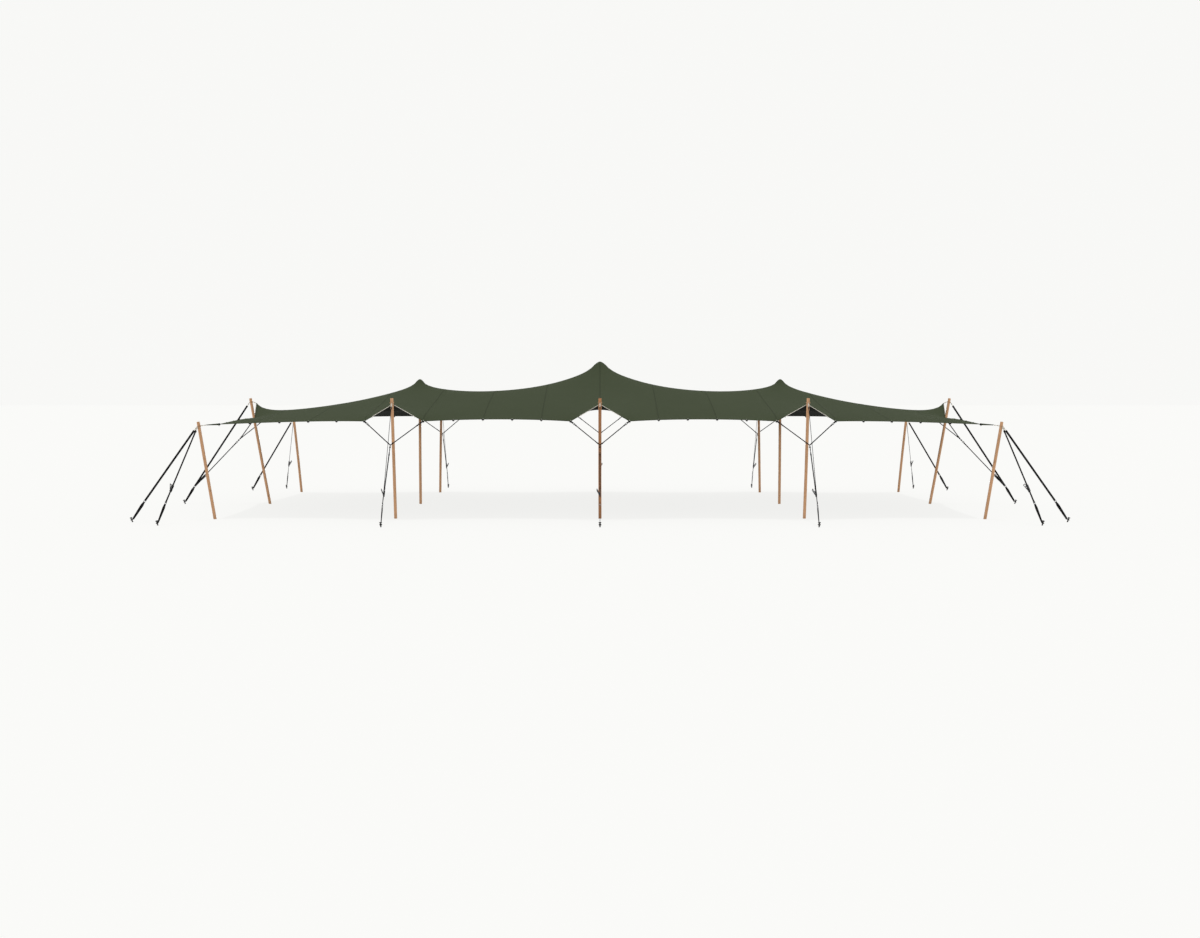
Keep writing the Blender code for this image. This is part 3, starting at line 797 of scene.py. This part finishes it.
def staff(foot, head, below, seed):
    # a round timber with a slight bow and an uneven surface, its top edge rounded
    r = pole["radius"]
    axis = (head - foot).normalized()
    length = (head - foot).length
    place = frameAt(foot, axis, anyFlat(axis))
    stations = [-below] + [length * i / 16 for i in range(1, 16)]
    stations += [length - 0.02, length - pole["round"], length - pole["round"] * 0.3, length]
    radii = [r] * (len(stations) - 3) + [r, r - pole["round"] * 0.25, r - pole["round"]]
    points = [Vector((0, 0, station)) for station in stations]
    part = sweep(points, radii, Vector((0, 1, 0)), 28)
    lay = part.verts.layers.float_vector["lay"]
    for vert in part.verts:
        station = vert.co.z
        bend = pole["bow"] * math.sin(math.pi * min(max(station / length, 0), 1))
        uneven = noise.noise(Vector((vert.co.x * 22, vert.co.y * 22, station * 1.3 + seed)))
        vert[lay] = (vert.co.x, vert.co.y, station + seed * 5)
        vert.co.x *= 1 + 0.035 * uneven
        vert.co.y *= 1 + 0.035 * uneven
        vert.co += Vector((math.cos(seed * 2.4), math.sin(seed * 2.4), 0)) * bend
    part.transform(place)
    return part


def perimeterPole(node, foot, head, seed):
    whole = newPart()
    addPart(whole, staff(foot, head, 0.1, seed), keepLay=True)
    cut = bmesh.ops.bisect_plane(
        whole, geom=whole.verts[:] + whole.edges[:] + whole.faces[:], plane_co=(0, 0, 0),
        plane_no=(0, 0, 1), clear_inner=True)
    rim = [item for item in cut["geom_cut"] if isinstance(item, bmesh.types.BMEdge)]
    bmesh.ops.holes_fill(whole, edges=rim)
    # the middle poles take the darkened timber, painted shade
    wood = middlePoleShadedTimber if "middle" in node else timber
    return finishPiece(camel(node) + "Timber", whole, [wood], node)


def innerPole(node, x, seed, slope, rounding):
    # a tall upright with a rubber cap that follows the sheet's peak
    low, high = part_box(node)
    top = high[2]

    def under(radius):
        return top - 1.03 * (math.hypot(slope * radius, rounding) - rounding)

    whole, cap = newPart(), newPart()
    addPart(whole, staff(Vector((x, 0, 0)), Vector((x, 0, under(0.094) - 0.04)), 0.0, seed), keepLay=True)
    r = pole["radius"]
    rim = under(0.094)
    profile = [(radius, under(radius)) for radius in (0.0, 0.015, 0.03, 0.045, 0.06, 0.078, 0.094)]
    profile += [
        (0.1, rim - 0.007), (0.098, rim - 0.015), (0.07, rim - 0.022), (r + 0.012, rim - 0.034),
        (r + 0.009, rim - 0.11), (r + 0.006, rim - 0.115), (r, rim - 0.115)]
    addPart(cap, turned(profile, 40), Matrix.Translation((x, 0, 0)))
    name = camel(node)
    staffPiece = finishPiece(name + "Timber", whole, [timber], node)
    capPiece = finishPiece(name + "Cap", cap, [capRubber], None)
    return staffPiece, capPiece


def camel(node):
    first, *rest = node.split("_")
    return first + "".join(word.capitalize() for word in rest)


for seed, (node, side) in enumerate((("centre_pole", 0), ("left_inner_pole", -1), ("right_inner_pole", 1))):
    peakX, _, slope, rounding, _ = c["peaks"][abs(side)]
    innerPole(node, peakX * side, seed + 1, slope, rounding)
print("inner poles made")


guy = dict(
    rope=0.008, bridle=0.013, headDrop=0.11, headRope=0.13, strapWidth=0.050, strapThick=0.005,
    ringZ=0.50, ringRadius=0.025, ringWire=0.0065, nodeOut=0.83, nodeZ=1.865, bridleOut=0.73,
    bridleY=5.24, bridleX=9.66, bridleZ=2.442, tieGap=0.008, sew=0.12, ratchetZ=0.76, cornerRatchetZ=0.85,
    cornerLink=(9.735, 5.305, 2.350), armStrap=(0.036, 0.09))
ratchet = dict(length=0.19, width=0.052, depth=0.042, handle=0.16, rise=math.radians(22), plate=0.003)
stake = dict(
    longY=7.42, sideX=11.84, corners=((11.37, 6.04), (10.47, 6.97)), radius=0.016, head=0.034,
    headDepth=0.016, height=0.125, lean=math.radians(20), loopZ=0.06, loopWire=0.008, sling=(0.070, 0.005),
    slingEnd=0.66)


def atHeight(start, end, z):
    return start + (end - start) * ((z - start.z) / (end.z - start.z))


def sideOf(start, end):
    # level and square to a run: the way a strap's flat face looks
    return (end - start).cross(up).normalized()


def strapBand(whole, start, end, flat, width, thick, endWidth=None, startAt=0.0):
    # one straight length of webbing with rounded edges
    length = (end - start).length
    part = block((width, thick, length), thick * 0.42, 2)
    if endWidth:
        far = [vert for vert in part.verts if vert.co.z > 0]
        bmesh.ops.scale(part, vec=(endWidth / width, 1, 1), verts=far)
    lay = part.verts.layers.float_vector["lay"]
    for vert in part.verts:
        vert[lay] = (vert.co.x, vert.co.y, vert.co.z + length / 2 + startAt)
    addPart(whole, part, frameAt((start + end) / 2, end - start, flat), keepLay=True)


def stitchBox(whole, centre, along, flat, width, length):
    # box and cross of thread over a sewn overlap
    place = frameAt(centre, along, flat)
    w, h = width * 0.36, length * 0.42
    corners = [Vector((-w, 0, -h)), Vector((w, 0, -h)), Vector((w, 0, h)), Vector((-w, 0, h))]
    runs = list(zip(corners, corners[1:] + corners[:1])) + [(corners[0], corners[2]), (corners[1], corners[3])]
    for start, end in runs:
        addPart(whole, sweep([place @ start, place @ end], 0.0009, flat, 4), keepLay=True)


def sewnEnd(straps, threads, end, along, flat, eye):
    # the strap turned back through an eye and sewn down on itself
    g = guy
    inward = -along
    thick = g["strapThick"]
    across = flat
    turn = [
        end + along * (eye * math.cos(a)) + across * (eye * math.sin(a))
        for a in [math.radians(step) for step in range(-90, 91, 20)]]
    sweepBand(straps, turn, along.cross(flat), g["strapWidth"], thick)
    foot = end - along * 0.05
    for side in (-1, 1):
        near, far = end + across * eye * side, foot + across * thick * 0.5 * side
        strapBand(straps, near, far, flat, g["strapWidth"], thick)
    strapBand(
        straps, foot + across * thick * 0.5, foot - along * g["sew"] + across * thick * 0.5, flat,
        g["strapWidth"] * 0.98, thick)
    stitchBox(
        threads, foot - along * g["sew"] * 0.5 + across * thick * 1.05, inward, flat, g["strapWidth"], g["sew"])


def sweepBand(whole, points, acrossWay, width, thick):
    # webbing bent along points, its width along acrossWay
    part = newPart()
    lay = part.verts.layers.float_vector["lay"]
    bmesh.ops.create_grid(part, x_segments=1, y_segments=1, size=0.5)
    bmesh.ops.scale(part, vec=(width, thick, 1), verts=part.verts)
    ring = list(part.edges)
    faces = list(part.faces)
    bmesh.ops.delete(part, geom=faces, context="FACES_ONLY")
    frames = []
    for i, point in enumerate(points):
        along = (points[min(i + 1, len(points) - 1)] - points[max(i - 1, 0)]).normalized()
        frames.append(frameAt(point, along, along.cross(acrossWay)))
    travelled = 0.0
    fresh = [(vert, vert.co.copy()) for vert in part.verts]
    for i, place in enumerate(frames):
        if i:
            grown = bmesh.ops.extrude_edge_only(part, edges=ring)["geom"]
            ring = [item for item in grown if isinstance(item, bmesh.types.BMEdge) and item.is_boundary]
            back = frames[i - 1].inverted()
            travelled += (points[i] - points[i - 1]).length
            fresh = [(vert, back @ vert.co) for vert in {v for edge in ring for v in edge.verts}]
        for vert, local in fresh:
            vert.co = place @ local
            vert[lay] = (local.x, local.y, travelled)
    bmesh.ops.holes_fill(part, edges=[edge for edge in part.edges if edge.is_boundary], sides=4)
    addPart(whole, part, keepLay=True)


def ratchetParts(start, end, z):
    # side plates, spool with its toothed wheels and rolled webbing, and the lever
    r = ratchet
    along = (end - start).normalized()
    side = along.cross(up).normalized()
    place = frameAt(atHeight(start, end, z), along, side)
    body, roll, lever = newPart(), newPart(), newPart()
    half = r["width"] / 2
    for x in (-1, 1):
        plate = block((r["plate"], r["depth"] * 0.8, r["length"]), 0.0012, 1)
        addPart(body, plate, place @ Matrix.Translation((x * half, 0, 0)))
        wheel = turned([(0.0, -0.0015), (0.021, -0.0015), (0.021, 0.0015), (0.0, 0.0015)], 13)
        teeth = Matrix.Rotation(math.pi / 2, 4, "Y")
        addPart(body, wheel, place @ Matrix.Translation((x * (half - 0.006), 0.006, 0.03)) @ teeth)
    for at, size in ((0.03, 0.0085), (-0.062, 0.005), (0.07, 0.0045)):
        axle = turned([
            (0.0, -half - 0.006), (size, -half - 0.006), (size, half + 0.006), (0.0, half + 0.006)], 12)
        addPart(body, axle, place @ Matrix.Translation((0, 0.004, at)) @ Matrix.Rotation(math.pi / 2, 4, "Y"))
    spool = turned([(0.0, -0.0185), (0.0175, -0.0185), (0.0175, 0.0185), (0.0, 0.0185)], 16)
    addPart(roll, spool, place @ Matrix.Translation((0, 0.004, 0.03)) @ Matrix.Rotation(math.pi / 2, 4, "Y"))
    pivot = place @ Matrix.Translation((0, 0.012, 0.03)) @ Matrix.Rotation(r["rise"], 4, "X")
    for x in (-1, 1):
        arm = block((r["plate"], 0.018, r["handle"]), 0.0012, 1)
        addPart(lever, arm, pivot @ Matrix.Translation((x * (half + 0.0035), 0.004, -r["handle"] / 2)))
    grip = turned([
        (0.0, -half - 0.004), (0.0075, -half - 0.004), (0.0085, -half + 0.006), (0.0085, half - 0.006),
        (0.0075, half + 0.004), (0.0, half + 0.004)], 12)
    addPart(lever, grip, pivot @ Matrix.Translation((0, 0.004, -r["handle"] + 0.006)) @ Matrix.Rotation(
        math.pi / 2, 4, "Y"))
    for at in (-0.05, -0.09):
        web = block((r["width"], 0.0025, 0.024), 0.0008, 1)
        addPart(lever, web, pivot @ Matrix.Translation((0, 0.001, at)))
    return body, roll, lever


def stakeAxis(point, fromPoint):
    out = Vector((point.x - fromPoint.x, point.y - fromPoint.y, 0)).normalized()
    return out * math.sin(stake["lean"]) + up * math.cos(stake["lean"])


def loopCentre(point, axis):
    return point + axis * (stake["loopZ"] / axis.z)


def stakePiece(node, point, axis, seed):
    # a forged pin with a hammered head and a small collar under it
    s = stake
    whole = newPart()
    h, r, hr = s["height"], s["radius"], s["head"]
    profile = [
        (0.0, h), (hr * 0.45, h - 0.0006), (hr * 0.82, h - 0.002), (hr * 0.97, h - 0.005), (hr, h - 0.0085),
        (hr * 0.96, h - 0.012), (hr * 0.82, h - s["headDepth"]), (r * 1.25, h - s["headDepth"] - 0.003),
        (r * 1.02, h - s["headDepth"] - 0.009), (r, 0.06), (r, 0.03), (r * 0.99, 0.0), (r * 0.98, -0.05)]
    part = turned(profile, 20)
    bmesh.ops.holes_fill(part, edges=[edge for edge in part.edges if edge.is_boundary])
    for vert in part.verts:
        if vert.co.z > h - 0.02:
            dent = noise.noise(Vector((vert.co.x * 60, vert.co.y * 60, seed * 3.1)))
            vert.co.z += 0.0022 * dent
            vert.co.x *= 1 + 0.05 * dent
            vert.co.y *= 1 + 0.05 * dent
    addPart(whole, part, frameAt(point, axis, anyFlat(axis)))
    cut = bmesh.ops.bisect_plane(
        whole, geom=whole.verts[:] + whole.edges[:] + whole.faces[:], plane_co=(0, 0, 0),
        plane_no=(0, 0, 1), clear_inner=True)
    rim = [item for item in cut["geom_cut"] if isinstance(item, bmesh.types.BMEdge)]
    bmesh.ops.holes_fill(whole, edges=rim)
    return finishPiece(camel(node) + "Pin", whole, [forged], node)


def slingParts(whole, ringCentre, point, axis):
    # a flat webbing loop from the ring to the stake
    s = stake
    centre = loopCentre(point, axis)
    towards = ringCentre - centre
    level = (towards - axis * towards.dot(axis)).normalized()
    radius = s["radius"] + s["loopWire"] + 0.0024
    addPart(whole, hoop(radius, s["loopWire"], 18, 8), frameAt(centre, axis, anyFlat(axis)))
    foot = centre + level * (radius + s["loopWire"] / 2)
    flat = sideOf(ringCentre, foot)
    width, thick = s["sling"]
    run = (foot - ringCentre).normalized()
    eye = guy["ringWire"] + thick * 0.7
    top = ringCentre + run * (guy["ringRadius"] - guy["ringWire"])
    for side in (-1, 1):
        start, end = top + flat * eye * side, foot + flat * 0.004 * side
        wide = start + (end - start) * 0.2
        strapBand(whole, start, wide, flat, width * 0.55, thick, width)
        strapBand(whole, wide, end, flat, width, thick, width * s["slingEnd"], (wide - start).length)
    turn = [
        top - run * (eye * math.sin(a)) * 1.0 + flat * (eye * math.cos(a))
        for a in [math.radians(step) for step in range(0, 181, 20)]]
    sweepBand(whole, turn, run.cross(flat), width * 0.55, thick)


class Kit:
    # the parts of one guy, sorted by finish
    def __init__(self, name):
        self.name = name
        self.wholes = {}

    def of(self, label):
        if label not in self.wholes:
            self.wholes[label] = newPart()
        return self.wholes[label]

    def done(self, node):
        looks = {
            "Rope": (paleRope, "rope"), "HeadLoop": (hempRope, "rope"), "CornerTab": (edgeCloth, "canopy_fabric"),
            "Straps": (webbing, "webbing"), "Stitching": (thread, "webbing"), "Sling": (webbing, "webbing"),
            "Ratchet": (blackSteel, "fittings"), "Lever": (blackSteel, "fittings"), "Ring": (zinc, "fittings"),
            "Bridle": (darkRope, "dark_rope"), "Clips": (blackMoulding, "fittings")}
        for label, whole in self.wholes.items():
            material, slot = looks[label]
            finishPiece(self.name + label, whole, [material], node)


def headRopes(kit, foot, head, tie, anchors):
    # rope wound round the pole's head, tied to the hem, and on to each strap
    g = guy
    axis = (head - foot).normalized()
    centre = head - axis * g["headDrop"]
    wrapRadius = pole["radius"] + g["rope"] + 0.0012
    rope = kit.of("Rope")
    start = centre - axis * g["rope"] * 1.2
    turns = helix(start, axis, wrapRadius, g["rope"] * 2.05, 1.25, 18)
    addPart(kit.of("HeadLoop"), sweep(turns, g["rope"], sides=8), keepLay=True)

    def leave(target):
        towards = target - centre
        return centre + (towards - axis * towards.dot(axis)).normalized() * wrapRadius

    inner = leave(tie)
    tieWay = (tie - inner).normalized()
    tieEnd = tie - tieWay * 0.012
    addPart(rope, sweep([inner, inner + (tieEnd - inner) * 0.5, tieEnd], g["rope"], sides=8), keepLay=True)
    whipping(rope, inner + tieWay * 0.03, tieWay, g["rope"], 0.0028, 5)
    whipping(rope, tieEnd - tieWay * 0.05, tieWay, g["rope"], 0.0028, 4)
    tops = []
    for anchor in anchors:
        outer = leave(anchor)
        way = (anchor - outer).normalized()
        top = outer + way * g["headRope"]
        flat = sideOf(outer, anchor)
        for side in (-1, 1):
            line = [
                outer, outer + way * 0.05 + flat * 0.006 * side, top - way * 0.02 + flat * 0.011 * side,
                top + way * 0.004 + flat * 0.004 * side]
            addPart(rope, sweep(line, g["rope"] * 0.82, sides=8), keepLay=True)
        whipping(rope, outer + way * 0.035, way, g["rope"] * 1.25, 0.003, 5)
        tops.append(top)
    return tops


def mainStrap(kit, top, anchor, ratchetZ=None):
    # webbing from the head rope to the ring above a stake
    g = guy
    ringCentre = atHeight(top, anchor, g["ringZ"])
    along = (ringCentre - top).normalized()
    flat = sideOf(top, anchor)
    straps, threads = kit.of("Straps"), kit.of("Stitching")
    low = ringCentre - along * (g["ringRadius"])
    strapBand(straps, top + along * 0.05, low - along * 0.05, flat, g["strapWidth"], g["strapThick"])
    sewnEnd(straps, threads, low, along, flat, g["ringWire"] + 0.002)
    sewnEnd(straps, threads, top, -along, flat, g["rope"] + 0.003)
    if ratchetZ:
        body, roll, lever = ratchetParts(top, ringCentre, ratchetZ)
        for label, part in (("Ratchet", body), ("Straps", roll), ("Lever", lever)):
            addPart(kit.of(label), part, keepLay=True)
    return ringCentre, flat


def anchorRing(kit, ringCentre, flat, point, axis):
    addPart(kit.of("Ring"), hoop(guy["ringRadius"], guy["ringWire"], 24, 8), frameAt(ringCentre, flat, up))
    slingParts(kit.of("Sling"), ringCentre, point, axis)


def clip(whole, start, along, flat, length):
    # an oval snap link: two sides, two bows and a gate
    place = frameAt(start + along * length / 2, along, flat)
    half, wide = length / 2 - 0.016, 0.0155
    oval = [Vector((wide * math.cos(a), 0, half * (1 if math.sin(a) > 0 else -1) + wide * math.sin(a)))
            for a in [math.radians(step) for step in range(0, 361, 20)]]
    addPart(whole, sweep([place @ point for point in oval], 0.0065, flat, 8), keepLay=True)
    addPart(whole, block((0.016, 0.019, length * 0.4), 0.003, 2), place @ Matrix.Translation((wide, 0, 0)))
    addPart(whole, block((0.016, 0.019, 0.018), 0.004, 2), place @ Matrix.Translation((0, 0, half + 0.009)))


def bridleParts(kit, foot, out, hems, anchor, ringCentre):
    # two arms from the hem to a thimble, then a line down to a ratchet and a strap to the ring
    g = guy
    node = foot + out * g["nodeOut"] + up * g["nodeZ"]
    ropes, clips = kit.of("Bridle"), kit.of("Clips")
    flat = sideOf(node, ringCentre)
    down = (ringCentre - node).normalized()
    armWidth, armLength = g["armStrap"]
    for hem in hems:
        way = (node - hem).normalized()
        start = hem + way * g["tieGap"]
        face = way.cross(out).cross(way).normalized()
        for side in (-1, 1):
            band = start + face * 0.0032 * side
            strapBand(kit.of("Straps"), band, band + way * armLength, face, armWidth, 0.003)
        clip(clips, start + way * (armLength - 0.01), way, face, 0.075)
        first = start + way * (armLength + 0.055)
        line = [first + (node - first) * t for t in (0.0, 0.33, 0.66, 1.0)]
        addPart(ropes, sweep(line, g["bridle"], sides=8), keepLay=True)
        whipping(ropes, first + way * 0.03, way, g["bridle"], 0.0026, 6)
        whipping(ropes, node - way * 0.10, way, g["bridle"], 0.0026, 6)
    addPart(clips, hoop(0.016, 0.006, 16, 6), frameAt(node, flat, up))
    addPart(clips, turned([
        (0.0, -0.022), (0.014, -0.021), (0.0205, -0.009), (0.021, 0.009), (0.014, 0.021), (0.0, 0.022)], 16),
        frameAt(node + down * 0.064, down, flat))
    addPart(clips, sweep([node + down * 0.012, node + down * 0.05], 0.005, sides=8), keepLay=True)
    addPart(clips, sweep([node + down * 0.08, node + down * 0.115], 0.005, sides=8), keepLay=True)
    clip(clips, node + down * 0.105, down, flat, 0.075)
    strapBand(kit.of("Straps"), node + down * 0.16, node + down * 0.27, flat, 0.03, 0.012)
    tail = atHeight(node, ringCentre, g["ratchetZ"])
    first = node + down * 0.24
    line = [first + (tail - first) * t for t in (0.0, 0.25, 0.5, 0.75, 1.0)]
    addPart(ropes, sweep(line, g["bridle"], sides=8), keepLay=True)
    whipping(ropes, node + down * 0.30, down, g["bridle"], 0.0026, 6)
    whipping(ropes, tail - down * 0.16, down, g["bridle"], 0.0026, 6)
    low = ringCentre - down * g["ringRadius"]
    strapBand(kit.of("Straps"), tail - down * 0.06, low - down * 0.05, flat, g["strapWidth"], g["strapThick"])
    sewnEnd(kit.of("Straps"), kit.of("Stitching"), low, down, flat, g["ringWire"] + 0.002)
    body, roll, lever = ratchetParts(node, ringCentre, g["ratchetZ"])
    for label, part in (("Ratchet", body), ("Straps", roll), ("Lever", lever)):
        addPart(kit.of(label), part, keepLay=True)


def middleBay(name, foot, out, reach, tie, hems, seed):
    head = foot + out * pole["lean"] + up * pole["top"]
    point = Vector((foot.x * abs(out.y) + out.x * reach, foot.y * abs(out.x) + out.y * reach, 0))
    perimeterPole(name + "_pole", foot, head, seed)
    axis = stakeAxis(point, foot)
    anchor = loopCentre(point, axis)
    kit = Kit(camel(name))
    top, = headRopes(kit, foot, head, tie, [anchor])
    ringCentre, flat = mainStrap(kit, top, anchor)
    bridleParts(kit, foot, out, hems, anchor, ringCentre)
    anchorRing(kit, ringCentre, flat, point, axis)
    kit.done(name + "_guy")
    stakePiece(name + "_stake", point, axis, seed)


def cornerTab(kit, link, tie):
    # doubled hem cloth, tapering from the sheet's corner to the ring that the pale rope holds
    way = (tie - link).normalized()
    tab = kit.of("CornerTab")
    strapBand(tab, link + way * 0.012, tie + way * 0.03, sideOf(link, tie), 0.022, 0.007, 0.048)
    for centre, radius, wire in ((link, 0.013, 0.004), (tie + way * 0.012, 0.02, 0.0075)):
        addPart(kit.of("Clips"), hoop(radius, wire, 16, 6), frameAt(centre, way.cross(up), up))


def cornerBay(name, foot, head, tie, link, points, seed):
    perimeterPole(name + "_pole", foot, head, seed)
    axes = [stakeAxis(point, foot) for point in points]
    anchors = [loopCentre(point, axis) for point, axis in zip(points, axes)]
    kit = Kit(camel(name))
    tops = headRopes(kit, foot, head, link, anchors)
    cornerTab(kit, link, tie)
    for number, (top, anchor, point, axis) in enumerate(zip(tops, anchors, points, axes)):
        ringCentre, flat = mainStrap(kit, top, anchor, guy["cornerRatchetZ"] if number else None)
        anchorRing(kit, ringCentre, flat, point, axis)
        stakePiece(f"{name}_stake_{number + 1}", point, axis, seed + number * 0.5)
    kit.done(name + "_guys")


seed = 4
for sideName, side in (("front", -1), ("back", 1)):
    for place, x in (("left", -c["postX"]), ("middle", 0.0), ("right", c["postX"])):
        hems = [Vector((x + way * guy["bridleOut"], side * guy["bridleY"], guy["bridleZ"])) for way in (-1, 1)]
        middleBay(
            f"{sideName}_{place}", Vector((x, side * pole["footY"], 0)), Vector((0, side, 0)), stake["longY"],
            Vector((x, side * c["tieY"], c["tieZ"])), hems, seed)
        seed += 1
for sideName, side in (("left_side", -1), ("right_side", 1)):
    hems = [Vector((side * guy["bridleX"], way * guy["bridleOut"], guy["bridleZ"])) for way in (-1, 1)]
    middleBay(
        sideName, Vector((side * pole["footX"], 0, 0)), Vector((side, 0, 0)), stake["sideX"],
        Vector((side * c["tieX"], 0, c["tieZ"])), hems, seed)
    seed += 1
print("middle bays made")

for yName, ySide in (("front", -1), ("back", 1)):
    for xName, xSide in (("left", -1), ("right", 1)):
        foot = Vector((xSide * pole["cornerFoot"][0], ySide * pole["cornerFoot"][1], 0))
        head = foot + Vector((xSide * pole["cornerLean"][0], ySide * pole["cornerLean"][1], pole["cornerTop"]))
        tie = Vector((xSide * c["cornerX"], ySide * c["cornerY"], c["cornerZ"]))
        link = Vector((xSide * guy["cornerLink"][0], ySide * guy["cornerLink"][1], guy["cornerLink"][2]))
        points = [Vector((xSide * x, ySide * y, 0)) for x, y in stake["corners"]]
        cornerBay(f"{yName}_{xName}_corner", foot, head, tie, link, points, seed)
        seed += 1
print("corner bays made")


studio = dict(
    sky=(0.94, 0.94, 0.924), softSun=0.35, sunAngle=math.radians(25),
    floorSize=1200.0, floorGlow=(0.853, 0.853, 0.838), floorColour=(0.0625, 0.0625, 0.0613), floorSun=1.96,
    floorSunAngle=math.radians(2.5), poleFill=2.0, poleFillAngle=math.radians(12))


def makeFloor():
    # a pale floor, bright in itself, that takes a light shadow
    part = bmesh.new()
    bmesh.ops.create_grid(part, x_segments=1, y_segments=1, size=studio["floorSize"] / 2)
    mesh = bpy.data.meshes.new("floor")
    part.to_mesh(mesh)
    part.free()
    floor = bpy.data.objects.new("floor", mesh)
    bpy.context.scene.collection.objects.link(floor)
    finish = Finish("paleFloor", studio["floorColour"], 1.0, specular=0.0)
    finish.shader.inputs["Emission Color"].default_value = (*studio["floorGlow"], 1.0)
    finish.shader.inputs["Emission Strength"].default_value = 1.0
    mesh.materials.append(finish.material)
    return floor


def makeSun(name, energy, angle, receivers=(), turn=(0, 0, 0)):
    # a distant light, kept to some pieces where receivers names them
    lamp = bpy.data.lights.new(name, "SUN")
    lamp.energy = energy
    lamp.angle = angle
    sun = bpy.data.objects.new(name, lamp)
    sun.rotation_euler = turn
    bpy.context.scene.collection.objects.link(sun)
    if receivers:
        lit = bpy.data.collections.new(name + "Lit")
        for piece in receivers:
            lit.objects.link(piece)
        sun.light_linking.receiver_collection = lit
    return sun


def makeLight(floor):
    # an even pale sky, a soft light from overhead, one for the floor that draws the tent's shadow,
    # and a low ring of light for the timber under the sheet
    world = bpy.data.worlds.new("studioSky")
    bpy.context.scene.world = world
    world.use_nodes = True
    sky = world.node_tree.nodes["Background"]
    sky.inputs["Color"].default_value = (*studio["sky"], 1.0)
    sky.inputs["Strength"].default_value = 1.0
    makeSun("softOverhead", studio["softSun"], studio["sunAngle"])
    makeSun("floorSun", studio["floorSun"], studio["floorSunAngle"], [floor])
    lit = ("Timber", "HeadLoop", "Rope", "edgeRopes")
    poles = [piece for piece in bpy.data.objects if piece.name.endswith(lit)]
    for number in range(4):
        turn = (math.radians(85), 0, math.radians(90 * number))
        makeSun(f"poleFill{number}", studio["poleFill"], studio["poleFillAngle"], poles, turn)
    bpy.context.scene.view_settings.view_transform = "Standard"


view = dict(place=(0.0, -40.68, 3.0), pitch=math.radians(2.82), lens=42.84)


def makeCamera():
    data = bpy.data.cameras.new("camera")
    data.lens = view["lens"]
    data.sensor_width = 36.0
    data.sensor_fit = "HORIZONTAL"
    data.clip_end = 2000.0
    camera = bpy.data.objects.new("camera", data)
    camera.location = view["place"]
    camera.rotation_euler = (math.pi / 2 - view["pitch"], 0, 0)
    bpy.context.scene.collection.objects.link(camera)
    bpy.context.scene.camera = camera


makeLight(makeFloor())
makeCamera()
print("studio ready")
